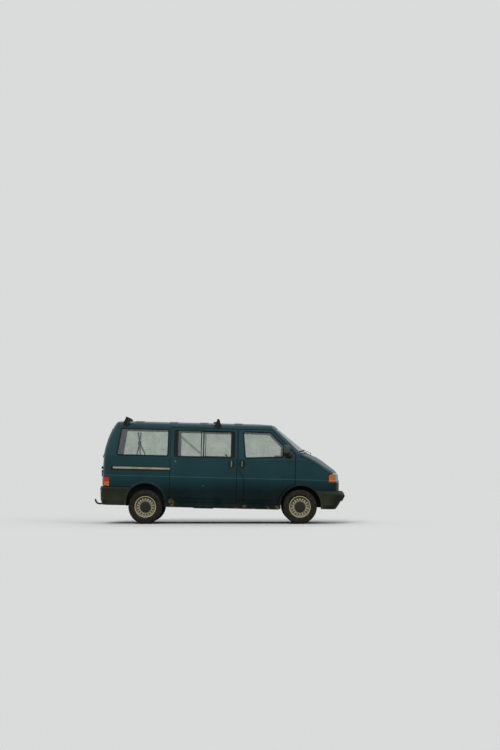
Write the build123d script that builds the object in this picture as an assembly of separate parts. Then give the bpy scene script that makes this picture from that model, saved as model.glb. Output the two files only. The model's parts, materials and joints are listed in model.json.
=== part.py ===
from build123d import *
import math
import os

# Window van with a sliding side door, used as a camper. Millimetres, +X forward, +Y left, +Z up.
# The body is drawn level, with x = 0 at the rear axle and z = 0 at the ground under mid wheelbase,
# and is then tilted nose down onto its wheels. The wheels and axles are drawn in the ground frame.

# Wheels and stance
WHEELBASE = 2920.0
FRONT_TRACK = 1589.0
REAR_TRACK = 1554.0
TYRE_RADIUS = 324.0
TYRE_WIDTH = 205.0
TYRE_SIDES = 60
RIM_RADIUS = 190.0
RIM_WIDTH = 160.0
RIM_SLOTS = 18
STANCE_DEG = 1.4

# Body walls, seams and glass
SIDE_WALL = 55.0
ROOF_WALL = 38.0
SKIN = 22.0
DOOR_GAP = 8.0
DOOR_REBATE = 14.0
GLASS_INSET = 4.0
GLASS_THICK = 5.0
GLASS_GAP = 1.0
LAMP_SEAT = 3.0

# Heights of the body's horizontal lines
SILL_Z = 295.0
DOOR_LOW_Z = 396.0
DOOR_TOP_Z = 1797.0
LAMP_LOW_Z = 838.0
CREASE_Z = 868.0
LAMP_TOP_Z = 988.0
COWL_Z = 1306.0
SCREEN_BASE_Z = 1379.0
GUTTER_Z = 1802.0
ROOF_Z = 1918.0
FLOOR_TOP_Z = 500.0
FLOOR_THICK = 55.0
WINDOW_TOP_Z = 1752.0
SLIDE_WINDOW_LOW_Z = 1250.0
QUARTER_WINDOW_LOW_Z = 1254.0

# Grille between the lamps
GRILLE_HALF = 432.0
GRILLE_SLOTS = 5
GRILLE_SLOT = 17.0

# Wheel arches, measured from their axles
FRONT_ARCH_X = WHEELBASE + 25.0
FRONT_ARCH_Z = 375.0
FRONT_ARCH_R = 382.0
REAR_ARCH_X = 6.0
REAR_ARCH_Z = 373.0
REAR_ARCH_R = 358.0
FLARE_WIDTH = 40.0
FLARE_Y = 925.0
HOUSE_WALL = 12.0
FRONT_HOUSE_Y = 498.0
REAR_HOUSE_Y = 628.0
AXLE_ROOM = 22.0

# Side view seams and handles
SLIDE_DOOR_BACK_X = 456.0
SLIDE_DOOR_FRONT_X = 1720.0
FRONT_DOOR_REAR_X = SLIDE_DOOR_FRONT_X + 22.0
FRONT_DOOR_LOW_X = 1860.0
FRONT_DOOR_FRONT_X = 2828.0
DOOR_STEP_LOW_Z = 870.0
DOOR_STEP_TOP_Z = 1037.0
FRONT_HANDLE = (1820.0, 1139.0)
SLIDE_HANDLE = (1619.0, 1134.0)
HANDLE_HALF_WIDTH = 56.0
HANDLE_HALF_HEIGHT = 74.0
RAIL_LOW_Z = 990.0
RAIL_TOP_Z = 1046.0

# Axles: hub height is the tyre radius
HUB_STUB_RADIUS = 45.0
HALF_SHAFT_RADIUS = 15.0
SHAFT_TO_HUB = 110.0
ARM_TO_HUB = 150.0
TOW_BALL_RADIUS = 25.0
TOW_BALL_X = -1000.0
TOW_BALL_Z = 425.0

# Roof ribs and roof carrier feet
RIB_X = (-160.0, 494.0, 1074.0, 1733.0)
RIB_LENGTH = 150.0
RIB_PROUD = 9.0
CARRIER_X = (-389.0, 1346.0)
BAR_WIDTH = 44.0
BAR_THICK = 26.0
BAR_LENGTH = 1500.0
BAR_TOP_Z = ROOF_Z + 60.0

# Plan outline of the body at each height:
# z, nose x, nose arc radius, front corner radius, nose slant factor, half width, tail x, tail arc radius, rear corner
LEVELS = (
    (SILL_Z, 3650.0, 4100.0, 150.0, 1.0, 893.0, -840.0, 5000.0, 120.0),
    (490.0, 3700.0, 4100.0, 150.0, 1.0, 918.0, -858.0, 5000.0, 130.0),
    (CREASE_Z - 6.0, 3698.0, 4100.0, 150.0, 1.0, 920.0, -863.0, 5000.0, 130.0),
    (CREASE_Z + 7.0, 3690.0, 4000.0, 150.0, 1.0, 911.0, -861.0, 5000.0, 130.0),
    (LAMP_TOP_Z - 3.0, 3675.0, 3600.0, 145.0, 1.0, 909.0, -858.0, 5000.0, 130.0),
    (1060.0, 3614.0, 3000.0, 130.0, 1.5, 907.0, -856.0, 5000.0, 130.0),
    (1235.0, 3374.0, 2300.0, 95.0, 1.6, 900.0, -848.0, 5000.0, 125.0),
    (COWL_Z, 3259.0, 2000.0, 80.0, 1.6, 888.0, -838.0, 5000.0, 120.0),
    (SCREEN_BASE_Z, 3085.0, 1900.0, 70.0, 1.6, 876.0, -826.0, 5000.0, 115.0),
    (1550.0, 2866.0, 2250.0, 66.0, 1.6, 847.0, -781.0, 4600.0, 105.0),
    (1700.0, 2674.0, 2600.0, 63.0, 1.6, 822.0, -722.0, 4300.0, 95.0),
    (GUTTER_Z, 2543.0, 2850.0, 60.0, 1.6, 805.0, -670.0, 4000.0, 90.0),
    (ROOF_Z + 12.0, 2379.0, 3000.0, 60.0, 1.6, 784.0, -582.0, 4000.0, 90.0),
)

WHEEL_MID_X = WHEELBASE / 2

# Height of the rear axle in the level body, which the stance then brings down to the tyre radius
REAR_AXLE_BODY_Z = TYRE_RADIUS - WHEEL_MID_X * math.sin(math.radians(STANCE_DEG))


def tangent_corner(nose_x, arc_r, corner_r, half_w):
    """Corner circle that touches both an end arc and a straight side: its centre x and touching point."""
    centre_x = nose_x - arc_r
    reach = math.sqrt((arc_r - corner_r) ** 2 - (half_w - corner_r) ** 2)
    ratio = arc_r / (arc_r - corner_r)
    return centre_x + reach, centre_x + reach * ratio, (half_w - corner_r) * ratio


def corner_mid(cx, cy, touch_x, touch_y, radius):
    """Middle point of a corner arc between its touching point and the side."""
    ux, uy = (touch_x - cx) / radius, (touch_y - cy) / radius + 1.0
    size = math.hypot(ux, uy)
    return cx + ux / size * radius, cy + uy / size * radius


def plan_wire(level, inset):
    """Closed plan outline at one height, moved inwards by inset."""
    z, nose_x, nose_r, front_c, slant, half_w, tail_x, tail_r, rear_c = level
    half_w -= inset
    nose_x -= inset * slant
    tail_x += inset
    front_c = max(front_c - inset, 12.0)
    rear_c = max(rear_c - inset, 12.0)
    fx, ftx, fty = tangent_corner(nose_x, nose_r, front_c, half_w)
    rx, rtx, rty = tangent_corner(-tail_x, tail_r, rear_c, half_w)
    fmx, fmy = corner_mid(fx, half_w - front_c, ftx, fty, front_c)
    rmx, rmy = corner_mid(rx, half_w - rear_c, rtx, rty, rear_c)
    edges = [
        ThreePointArc((ftx, -fty, z), (nose_x, 0, z), (ftx, fty, z)),
        ThreePointArc((ftx, fty, z), (fmx, fmy, z), (fx, half_w, z)),
        Line((fx, half_w, z), (-rx, half_w, z)),
        ThreePointArc((-rx, half_w, z), (-rmx, rmy, z), (-rtx, rty, z)),
        ThreePointArc((-rtx, rty, z), (tail_x, 0, z), (-rtx, -rty, z)),
        ThreePointArc((-rtx, -rty, z), (-rmx, -rmy, z), (-rx, -half_w, z)),
        Line((-rx, -half_w, z), (fx, -half_w, z)),
        ThreePointArc((fx, -half_w, z), (fmx, -fmy, z), (ftx, -fty, z)),
    ]
    return Wire(edges)


def roof_section(drop):
    """Solid under the crowned roof with its rounded edges and rain gutter ledge, seen from the front."""
    edge_y, crown_y, far_y = 788.0 - drop * 0.6, 700.0, 1100.0
    ledge, shoulder, top = GUTTER_Z - drop, 1880.0 - drop, ROOF_Z - drop
    low = SILL_Z - 200.0
    lines = [
        Line((-far_y, low), (far_y, low)),
        Line((far_y, low), (far_y, ledge)),
        Line((far_y, ledge), (edge_y, ledge)),
        ThreePointArc((edge_y, ledge), (edge_y - 24.0, ledge + 55.0), (crown_y, shoulder)),
        ThreePointArc((crown_y, shoulder), (0, top), (-crown_y, shoulder)),
        ThreePointArc((-crown_y, shoulder), (24.0 - edge_y, ledge + 55.0), (-edge_y, ledge)),
        Line((-edge_y, ledge), (-far_y, ledge)),
        Line((-far_y, ledge), (-far_y, low)),
    ]
    face = Plane.YZ * make_face(lines)
    return Pos(-1300, 0, 0) * extrude(face, 5400)


def roof_profile(drop):
    """Solid under the roof line, seen from the side: rounded into the tailgate and the windscreen."""
    low, top = SILL_Z - 200.0, ROOF_Z + 1.0 - drop
    lines = [
        Line((-1300, low), (4100, low)),
        Line((4100, low), (4100, 1500)),
        Line((4100, 1500), (2497, 1838.0 - drop)),
        ThreePointArc((2497, 1838.0 - drop), (2452, 1868.0 - drop), (2402, 1886.0 - drop)),
        ThreePointArc((2402, 1886.0 - drop), (2160, 1910.0 - drop), (1850, top)),
        Line((1850, top), (-330, top)),
        ThreePointArc((-330, top), (-500, 1905.0 - drop), (-628, 1858.0 - drop)),
        Line((-628, 1858.0 - drop), (-1300, 1560)),
        Line((-1300, 1560), (-1300, low)),
    ]
    face = Plane.XZ * make_face(lines)
    return Pos(0, 1100, 0) * extrude(face, 2200)


def body_form(inset, drop=0.0):
    """The whole body as one closed form, moved in from the outer skin by inset and down from the roof by drop."""
    form = Solid.make_loft([plan_wire(level, inset) for level in LEVELS], ruled=True)
    return Part() + form & roof_section(drop) & roof_profile(drop)


def slab(sketch, y0, y1):
    """A sketch of the side view (x, z), given depth from y0 to y1."""
    return Pos(0, (y0 + y1) / 2, 0) * extrude(Plane.XZ * sketch, (y1 - y0) / 2, both=True)


def side_block(sketch, inner_y=400.0, outer_y=1100.0):
    """A sketch of the side view, given depth on the right side of the body."""
    return slab(sketch, -outer_y, -inner_y)


def polygon(points, radius=0.0):
    """Closed outline through points, its corners rounded."""
    face = make_face(Polyline(*points, close=True))
    return fillet(face.vertices(), radius) if radius else face


def box(x0, x1, y0, y1, z0, z1):
    """Block between two corners."""
    return Pos((x0 + x1) / 2, (y0 + y1) / 2, (z0 + z1) / 2) * Box(x1 - x0, y1 - y0, z1 - z0)


def both(shape):
    """A piece and its mirror image on the other side."""
    return Compound(children=[*solids_of(shape), *solids_of(mirror(shape, about=Plane.XZ))])


def solids_of(shape):
    return list(shape.solids())


def joined(*shapes):
    """Several solids kept apart in one node."""
    return Compound(children=[s for shape in shapes for s in solids_of(shape)])


def grown(sketch, amount):
    """A sketch with its outline moved out (or in) by an amount."""
    return offset(sketch, amount, kind=Kind.INTERSECTION)


def rear_block(sketch, x0, x1):
    """A sketch of the rear view (y across, z up), given depth along the body."""
    return Pos(x0, 0, 0) * extrude(Plane.YZ * sketch, x1 - x0)


def disc(x, z, radius):
    """Circle in the side view."""
    return Pos(x, z) * Circle(radius)


# Side view outlines (x, z)
FENDER_LINE = ((2700, 1383), (2832, 1332), (3000, 1277), (3165, 1203), (3336, 1086), (3457, 998))
FRONT_ARCH = disc(FRONT_ARCH_X, FRONT_ARCH_Z, FRONT_ARCH_R)
REAR_ARCH = disc(REAR_ARCH_X, REAR_ARCH_Z, REAR_ARCH_R)
SLIDE_DOOR = polygon(
    (
        (SLIDE_DOOR_BACK_X, DOOR_LOW_Z),
        (SLIDE_DOOR_FRONT_X, DOOR_LOW_Z),
        (SLIDE_DOOR_FRONT_X, DOOR_TOP_Z),
        (SLIDE_DOOR_BACK_X, DOOR_TOP_Z),
    ),
    26,
)
FRONT_DOOR = polygon(
    (
        (FRONT_DOOR_LOW_X, DOOR_LOW_Z),
        (FRONT_DOOR_FRONT_X, DOOR_LOW_Z),
        (FRONT_DOOR_FRONT_X, 1347),
        (2370, DOOR_TOP_Z),
        (FRONT_DOOR_REAR_X, DOOR_TOP_Z),
        (FRONT_DOOR_REAR_X, DOOR_STEP_TOP_Z),
        (FRONT_DOOR_LOW_X, DOOR_STEP_LOW_Z),
    ),
    22,
) - disc(FRONT_ARCH_X, FRONT_ARCH_Z, FRONT_ARCH_R + 48.0)
FRONT_WINDOW = polygon(((1875, 1250), (1824, 1758), (2350, 1750), (2604, 1503), (2596, 1284)), 24)
SLIDE_WINDOW = polygon(
    (
        (SLIDE_DOOR_BACK_X + 76, SLIDE_WINDOW_LOW_Z),
        (SLIDE_DOOR_FRONT_X - 49, SLIDE_WINDOW_LOW_Z),
        (SLIDE_DOOR_FRONT_X - 49, WINDOW_TOP_Z),
        (SLIDE_DOOR_BACK_X + 76, WINDOW_TOP_Z),
    ),
    30,
)
QUARTER_WINDOW = polygon(
    (
        (-560, QUARTER_WINDOW_LOW_Z),
        (SLIDE_DOOR_BACK_X - 40, QUARTER_WINDOW_LOW_Z),
        (SLIDE_DOOR_BACK_X - 34, WINDOW_TOP_Z + 12),
        (-482, WINDOW_TOP_Z + 10),
    ),
    30,
)
SAIL = polygon(((2610, 1296), (2812, 1300), (2800, 1326), (2617, 1503)), 6)

# Rear and front view outlines (y, z)
TAILGATE = polygon(((-735, 676), (735, 676), (739, 1290), (672, 1838), (-672, 1838), (-739, 1290)), 26)
TAIL_WINDOW = polygon(((-645, 1270), (645, 1270), (592, 1748), (-592, 1748)), 45)
SCREEN = make_face(
    [
        ThreePointArc((-818, 1350), (0, 1390), (818, 1350)),
        Line((818, 1350), (742, 1792)),
        ThreePointArc((742, 1792), (0, 1854), (-742, 1792)),
        Line((-742, 1792), (-818, 1350)),
    ]
)
SCREEN = fillet(SCREEN.vertices(), 34)

# Closed forms at several depths below the outer skin
OUTER = body_form(0.0)
UNDER_SKIN = body_form(SKIN, 18.0)
CABIN = body_form(SIDE_WALL, ROOF_WALL)
GLASS_FACE = body_form(GLASS_INSET, GLASS_INSET)
GLASS_BACK = body_form(GLASS_INSET + GLASS_THICK, GLASS_INSET + GLASS_THICK)
WALLS = OUTER - CABIN
SKINS = OUTER - body_form(26.0, 26.0)
PANES = GLASS_FACE - GLASS_BACK

FAR_BACK, FAR_FRONT, FAR_OUT = -1300.0, 4000.0, 1100.0


def opening_block(sketch, growth=DOOR_GAP / 2):
    """Cutter for a door opening, a little larger than the nominal seam."""
    return side_block(grown(sketch, growth))


def side_door(sketch, window):
    """Door as thick as the wall: skin at the seam, inner part stepped back, window cut."""
    whole = WALLS & side_block(grown(sketch, -DOOR_GAP / 2))
    inner = side_block(grown(sketch, -DOOR_GAP / 2 - DOOR_REBATE))
    rim = side_block(grown(sketch, 10.0)) - inner
    return whole - (rim & UNDER_SKIN) - side_block(window)


def pane(sketch):
    """Window pane set just below the skin."""
    return PANES & side_block(grown(sketch, -GLASS_GAP))


def arch_lip(arch, radius, x, z, low_z, inner_y):
    """Raised lip round a wheel opening."""
    ring = disc(x, z, radius + FLARE_WIDTH) - arch
    ring = ring & (Pos(x, low_z + 500.0) * Rectangle(2000, 1000))
    lip = side_block(ring, inner_y, FLARE_Y)
    edges = lip.edges().filter_by(GeomType.CIRCLE).filter_by(
        lambda e: abs(abs(e.center().Y) - FLARE_Y) < 0.1 and abs(e.radius - radius - FLARE_WIDTH) < 0.5
    )
    return chamfer(edges, 10.0, 6.0) if edges else lip


# Fender and bonnet are parted by one line in the side view
FENDER_TOP = make_face(
    [
        Spline(*FENDER_LINE),
        Line(FENDER_LINE[-1], (FAR_FRONT, 995)),
        Line((FAR_FRONT, 995), (FAR_FRONT, 1500)),
        Line((FAR_FRONT, 1500), (2700, 1500)),
        Line((2700, 1500), FENDER_LINE[0]),
    ]
)
ABOVE_FENDER = Pos(0, FAR_OUT, 0) * extrude(Plane.XZ * FENDER_TOP, 2 * FAR_OUT)
ABOVE_FENDER_GAP = Pos(0, 0, DOOR_GAP) * ABOVE_FENDER


def bonnet_plan(shift):
    """Plan area ahead of the bonnet's rear edge."""
    face = make_face(
        [
            ThreePointArc((2925 + shift, -880), (3172 + shift, 0), (2925 + shift, 880)),
            Line((2925 + shift, 880), (2800 + shift, FAR_OUT)),
            Line((2800 + shift, FAR_OUT), (FAR_FRONT, FAR_OUT)),
            Line((FAR_FRONT, FAR_OUT), (FAR_FRONT, -FAR_OUT)),
            Line((FAR_FRONT, -FAR_OUT), (2800 + shift, -FAR_OUT)),
            Line((2800 + shift, -FAR_OUT), (2925 + shift, -880)),
        ]
    )
    return Pos(0, 0, 700) * extrude(face, 900)


SCREEN_BLOCK = rear_block(SCREEN, 2300, 3300)
BONNET_AHEAD = bonnet_plan(0.0)

# Side walls: from the rear corner to the front door seam, with the windscreen pillar
SIDE_AREA = polygon(
    (
        (FAR_BACK, 665),
        (-180, 665),
        (-180, SILL_Z),
        (2660, SILL_Z),
        (2828, SILL_Z + 300),
        (2828, 1338),
        (3100, 1338),
        (3100, GUTTER_Z),
        (FAR_BACK, GUTTER_Z),
    )
)
TAILGATE_OPENING = rear_block(grown(TAILGATE, DOOR_GAP / 2), FAR_BACK, -420)
SEAM_AT_FRONT_ARCH = disc(FRONT_ARCH_X, FRONT_ARCH_Z, FRONT_ARCH_R + 40.0)


def tail_lamp_room(clearance):
    """Space of a tail lamp on the right rear corner, grown by a clearance."""
    return box(FAR_BACK, -684 + clearance, -FAR_OUT, -749 + clearance, 674 - clearance, 834 + clearance)


def body_side(middle_cut):
    """One side wall, drawn on the right, with its front door, middle and rear openings."""
    wall = WALLS & side_block(SIDE_AREA - SEAM_AT_FRONT_ARCH, 560.0)
    wall -= box(2820, 3300, -824, 824, 1200, 1420)
    wall -= bonnet_plan(-DOOR_GAP)
    wall -= TAILGATE_OPENING
    wall -= SCREEN_BLOCK
    wall -= opening_block(FRONT_DOOR)
    wall -= middle_cut
    wall -= side_block(QUARTER_WINDOW)
    wall -= side_block(REAR_ARCH)
    wall -= tail_lamp_room(LAMP_SEAT)
    wall += arch_lip(REAR_ARCH, REAR_ARCH_R, REAR_ARCH_X, REAR_ARCH_Z, 420.0, 885.0)
    return wall


def floor_block():
    """Floor pan with its rear upstand, cut away over the wheels."""
    tray = box(-835, 2560, -900, 900, FLOOR_TOP_Z - FLOOR_THICK, FLOOR_TOP_Z)
    tray += box(-835, -795, -900, 900, FLOOR_TOP_Z - FLOOR_THICK, 668)
    tray &= body_form(SIDE_WALL + 1.0, ROOF_WALL)
    for arch, inner_y in ((REAR_ARCH, REAR_HOUSE_Y), (FRONT_ARCH, FRONT_HOUSE_Y)):
        cutter = side_block(grown(arch, HOUSE_WALL + 4.0), inner_y - 2.0)
        tray -= cutter
        tray -= mirror(cutter, about=Plane.XZ)
    return tray


def wheel_house(arch, inner_y, low_z, high_z, inset):
    """Inner arch: a curved shell over the wheel, closed on the inboard side."""
    outer = side_block(grown(arch, HOUSE_WALL + 1.0), inner_y, 905.0)
    hollow = side_block(arch, inner_y + HOUSE_WALL, 990.0)
    room = body_form(inset) & box(-900, 3660, -990, 0, low_z, high_z)
    return (outer - hollow) & room


def axle_room():
    """Slot, open below, that the rear hub stub passes through."""
    half = HUB_STUB_RADIUS + AXLE_ROOM
    crown = Pos(0, -REAR_HOUSE_Y, REAR_AXLE_BODY_Z) * Rot(90, 0, 0) * Cylinder(half, 100)
    return crown + box(-half, half, -REAR_HOUSE_Y - 50, -REAR_HOUSE_Y + 50, 200, REAR_AXLE_BODY_Z)


# Bumpers: plan outlines in the same form as the body's
FRONT_BUMPER_LEVELS = (
    (325.0, 3651.0, 3000.0, 200.0, 1.0, 884.0, 2600.0, 5000.0, 50.0),
    (400.0, 3702.0, 3200.0, 200.0, 1.0, 906.0, 2600.0, 5000.0, 50.0),
    (594.0, 3809.0, 3600.0, 210.0, 1.0, 924.0, 2600.0, 5000.0, 50.0),
    (624.0, 3806.0, 3600.0, 210.0, 1.0, 924.0, 2600.0, 5000.0, 50.0),
    (671.0, 3768.0, 3600.0, 190.0, 1.0, 916.0, 2600.0, 5000.0, 50.0),
)
REAR_BUMPER_LEVELS = (
    (308.0, 600.0, 5000.0, 50.0, 1.0, 894.0, -858.0, 4200.0, 130.0),
    (400.0, 600.0, 5000.0, 50.0, 1.0, 914.0, -888.0, 4200.0, 140.0),
    (596.0, 600.0, 5000.0, 50.0, 1.0, 924.0, -901.0, 4200.0, 140.0),
    (622.0, 600.0, 5000.0, 50.0, 1.0, 924.0, -900.0, 4200.0, 140.0),
    (655.0, 600.0, 5000.0, 50.0, 1.0, 914.0, -886.0, 4200.0, 130.0),
)


def bumper_form(levels, inset):
    return Part() + Solid.make_loft([plan_wire(level, inset) for level in levels], ruled=True)


def bumper(levels, x0, x1, arch_x, arch_z, arch_r, nose_clear):
    """Plastic bumper open below, with a closed top and an end that follows the wheel arch."""
    low, top = levels[0][0], levels[-1][0]
    shape = bumper_form(levels, 0.0) & box(x0, x1, -FAR_OUT, FAR_OUT, low, top)
    shape -= bumper_form(levels, 34.0) & box(x0 - 50, x1 + 50, -FAR_OUT, FAR_OUT, low - 1, top - 15)
    shape -= bumper_form(levels, 62.0) & box(x0 - 50, x1 + 50, -FAR_OUT, FAR_OUT, low - 1, top + 1)
    arch = side_block(disc(arch_x, arch_z, arch_r), 500.0)
    shape = shape - arch - mirror(arch, about=Plane.XZ)
    return shape - (body_form(-3.0) & nose_clear)


def front_end():
    """Fenders, nose panel, lamp carrier, lamps, grille, bonnet, cowl and windscreen."""
    parts = {}
    lamp = OUTER - body_form(38.0, 38.0)
    below_line = SKINS - ABOVE_FENDER
    fender_area = polygon(
        ((2834, 560), (2834, 1400), (3607, 1400), (3607, 676), (3180, 676), (3180, 440), (2500, SILL_Z), (2500, 560))
    )
    door_side = polygon(((2400, 200), (2830, 200), (2830, 1400), (2400, 1400)))
    fender_area -= door_side - disc(FRONT_ARCH_X, FRONT_ARCH_Z, FRONT_ARCH_R + 37.0)
    fender_area -= disc(FRONT_ARCH_X, FRONT_ARCH_Z, FRONT_ARCH_R - 30.0)
    fender = below_line & side_block(fender_area, 560.0)
    smaller = disc(FRONT_ARCH_X, FRONT_ARCH_Z, FRONT_ARCH_R - 15.0)
    fender += arch_lip(smaller, FRONT_ARCH_R, FRONT_ARCH_X, FRONT_ARCH_Z, 330.0, 885.0)
    fender -= side_block(FRONT_ARCH)
    fender -= box(3462, 3700, -FAR_OUT, 0, LAMP_LOW_Z - 4, LAMP_TOP_Z + 4)
    parts["front_fenders"] = both(fender)
    parts["nose_panel"] = below_line & box(3611, 3900, -FAR_OUT, FAR_OUT, 612, LAMP_LOW_Z - 6)

    carrier = body_form(44.0) - body_form(62.0)
    carrier = carrier & box(3440, 3900, -800, 800, 560, LAMP_TOP_Z + 2)
    parts["lamp_carrier"] = carrier

    low, top = LAMP_LOW_Z, LAMP_TOP_Z
    signal_area = polygon(((3467, low), (3590, low), (3590, top), (3496, top), (3467, top - 26)), 5)
    parts["turn_signals"] = both(lamp & side_block(signal_area, 700.0))
    parts["headlamps"] = both(lamp & box(3594, 3900, -900, -GRILLE_HALF - 4, low, top))
    grille = lamp & box(3500, 3900, -GRILLE_HALF, GRILLE_HALF, low, top + 2)
    pitch = (top - low) / (GRILLE_SLOTS + 0.5)
    for index in range(GRILLE_SLOTS):
        z = low + pitch * (index + 0.5)
        grille -= box(3500, 3900, 14 - GRILLE_HALF, GRILLE_HALF - 14, z, z + GRILLE_SLOT)
    backing = box(3560, 3900, 6 - GRILLE_HALF, GRILLE_HALF - 6, low + 4, top - 2)
    grille += body_form(30.0) & backing - body_form(38.0)
    parts["grille"] = grille

    bonnet = SKINS & ABOVE_FENDER_GAP & BONNET_AHEAD & box(2800, 3900, -FAR_OUT, FAR_OUT, 996, 1500)
    parts["bonnet"] = bonnet
    cowl = SKINS & ABOVE_FENDER & box(2834, 3400, -FAR_OUT, FAR_OUT, 1240, 1400)
    cowl -= bonnet_plan(-DOOR_GAP)
    cowl -= SCREEN_BLOCK
    cowl -= box(2800, 3300, -FAR_OUT, -822, 1337, 1500)
    cowl -= box(2800, 3300, 822, FAR_OUT, 1337, 1500)
    parts["cowl"] = cowl
    parts["windscreen"] = PANES & rear_block(grown(SCREEN, -GLASS_GAP), 2300, 3300)
    return parts


def roof_panel():
    """Roof skin with four raised ribs, from the tailgate to the windscreen."""
    roof = WALLS & box(FAR_BACK, FAR_FRONT, -FAR_OUT, FAR_OUT, GUTTER_Z + 0.5, ROOF_Z + 50)
    rib_form = body_form(0.0, -RIB_PROUD) - body_form(0.0, 2.0)
    for x in RIB_X:
        plan = fillet(Rectangle(RIB_LENGTH, 1330).vertices(), 40)
        rib = rib_form & (Pos(x, 0, 1850) * extrude(plan, 200))
        roof += rib
    return roof - TAILGATE_OPENING - SCREEN_BLOCK


def tailgate():
    """Top-hinged rear door, as thick as the rear wall, with its window cut."""
    block = rear_block(grown(TAILGATE, -DOOR_GAP / 2), FAR_BACK, -420)
    inner = rear_block(grown(TAILGATE, -DOOR_GAP / 2 - DOOR_REBATE), FAR_BACK, -420)
    shape = (OUTER & block) - (UNDER_SKIN - inner) - CABIN
    return shape - rear_block(TAIL_WINDOW, FAR_BACK, -420)


def inner_frame():
    """Pillar posts and cant rails standing just inside the door openings, joined to the floor."""
    ring = body_form(SIDE_WALL + 6.0, ROOF_WALL + 1.0) - body_form(SIDE_WALL + 42.0, ROOF_WALL + 44.0)
    hoop = polygon(((400, 440), (2380, 440), (2380, 1900), (400, 1900)))
    hoop -= polygon(((500, FLOOR_TOP_Z + 20), (1666, FLOOR_TOP_Z + 20), (1666, 1762), (500, 1762)), 40)
    hoop -= polygon(((1792, FLOOR_TOP_Z + 20), (2500, FLOOR_TOP_Z + 20), (2500, 1762), (1792, 1762)), 40)
    frame = ring & side_block(hoop, 560.0)
    frame = frame & box(380, 2400, -900, -704, FLOOR_TOP_Z + 1.0, 1880)
    return both(frame)


def firewall():
    """Panel between cab and engine, stepped forward at the top to carry the cowl."""
    outline = polygon(
        (
            (2562, 445),
            (2602, 445),
            (2660, 560),
            (2660, 1190),
            (2990, 1230),
            (2990, 1262),
            (2620, 1225),
            (2620, 560),
            (2562, 500),
        )
    )
    wall = slab(outline, -900, 900)
    wall &= body_form(34.0)
    wall &= box(2500, 3100, -800, 800, 400, 1300)
    arch = side_block(grown(FRONT_ARCH, HOUSE_WALL + 4.0), FRONT_HOUSE_Y - 2.0)
    return wall - arch - mirror(arch, about=Plane.XZ)


SEAT_TOP = FLOOR_TOP_Z + 360.0
SEAT_THICK = 130.0


def seat(y, width):
    """Seat base, cushion and reclined backrest."""
    low = SEAT_TOP - SEAT_THICK
    base = box(1870, 2290, y - width / 2 + 50, y + width / 2 - 50, FLOOR_TOP_Z + 1, low + 10)
    cushion = fillet(box(1830, 2350, y - width / 2, y + width / 2, low, SEAT_TOP).edges(), 30)
    back = Box(120, width - 20, 560)
    back = Pos(1830, y, SEAT_TOP + 230) * Rot(0, -12, 0) * fillet(back.edges(), 35)
    return base + cushion + back


def bench():
    """Low rear bench across the cabin."""
    top = SEAT_TOP + 20
    base = box(250, 650, -560, 560, FLOOR_TOP_Z + 1, top - SEAT_THICK + 10)
    cushion = fillet(box(200, 720, -580, 580, top - SEAT_THICK, top).edges(), 30)
    back = Pos(215, 0, top + 160) * Rot(0, -10, 0) * fillet(Box(120, 1140, 420).edges(), 35)
    return base + cushion + back


def dashboard():
    """Dashboard with an instrument hood on the left."""
    outline = polygon(
        ((2600, 900), (2420, 960), (2380, 1060), (2400, 1165), (2470, 1215), (2615, 1215), (2615, 900))
    )
    dash = slab(outline, -800, 800)
    hood = fillet(box(2420, 2600, 230, 580, 1195, 1262).edges(), 24)
    return (dash + hood) & body_form(SIDE_WALL + 8.0) & box(2300, 2618, -790, 790, 800, 1300)


STEER_X, STEER_Y, STEER_Z, STEER_TILT = 2285.0, 400.0, 1120.0, 35.0


def steering_wheel():
    """Rim, hub and three spokes, tilted towards the driver."""
    section = RegularPolygon(15, 8, major_radius=True)
    ring = revolve(Plane.XZ * (Pos(190, 0) * section), Axis.Z)
    hub = Cylinder(52, 36)
    wheel = ring + hub
    for angle in (0, 120, 240):
        wheel += Rot(0, 0, angle) * (Pos(112, 0, 0) * Box(150, 34, 12))
    wheel += Pos(0, 0, -45) * Cylinder(22, 60)
    return Pos(STEER_X, STEER_Y, STEER_Z) * Rot(0, -90 + STEER_TILT, 0) * wheel


def roof_carrier():
    """Two cross bars on gutter clamps, each foot a bracket with two clamp knobs."""
    pieces = []
    for x, ahead in zip(CARRIER_X, (1, -1)):
        bar = Pos(x, 0, BAR_TOP_Z - BAR_THICK / 2) * Box(BAR_WIDTH, BAR_LENGTH, BAR_THICK)
        outline = (
            (x - 32, 1804),
            (x + 32, 1804),
            (x + 34, 1848),
            (x + 68, 1856),
            (x + 22, 1952),
            (x - 22, 1952),
            (x - 68, 1856),
            (x - 34, 1848),
        )
        foot = slab(polygon(outline), -814, -791)
        foot += box(x - 20, x + 20, -790, -730, 1940, 1974)
        foot += Pos(x, -805, 1967) * Rot(90, 0, 0) * Cylinder(17, 60)
        foot += Pos(x + ahead * 70, -800, 1908) * Rot(90, 0, 0) * Cylinder(17, 30)
        foot += box(min(x, x + ahead * 74), max(x, x + ahead * 74), -796, -784, 1894, 1922)
        pieces.append(bar + foot + mirror(foot, about=Plane.XZ))
    return joined(*pieces)


def mirror_unit():
    """Door mirror with a tall rounded head on a sail plate."""
    head = fillet(box(2607, 2717, -1090, -935, 1262, 1506).edges(), 34)
    arm = slab(polygon(((2600, 1240), (2775, 1244), (2780, 1280), (2700, 1330), (2600, 1330))), -990, -880)
    sail = body_form(-5.0) & side_block(SAIL)
    return (head + arm + sail) - body_form(-0.5)


def handle(x, z):
    """Oval handle cup let into the door skin, with an upright grip."""
    plate = slab(Pos(x, z) * Ellipse(HANDLE_HALF_WIDTH, HANDLE_HALF_HEIGHT), -899, -893)
    grip = fillet(box(x - 15, x + 15, -914, -898, z - 66, z + 66).edges().filter_by(Axis.Y), 10)
    return plate + grip


def handle_recess(x, z):
    return side_block(Pos(x, z) * Ellipse(HANDLE_HALF_WIDTH + 1, HANDLE_HALF_HEIGHT + 1), 892.5)


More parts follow.
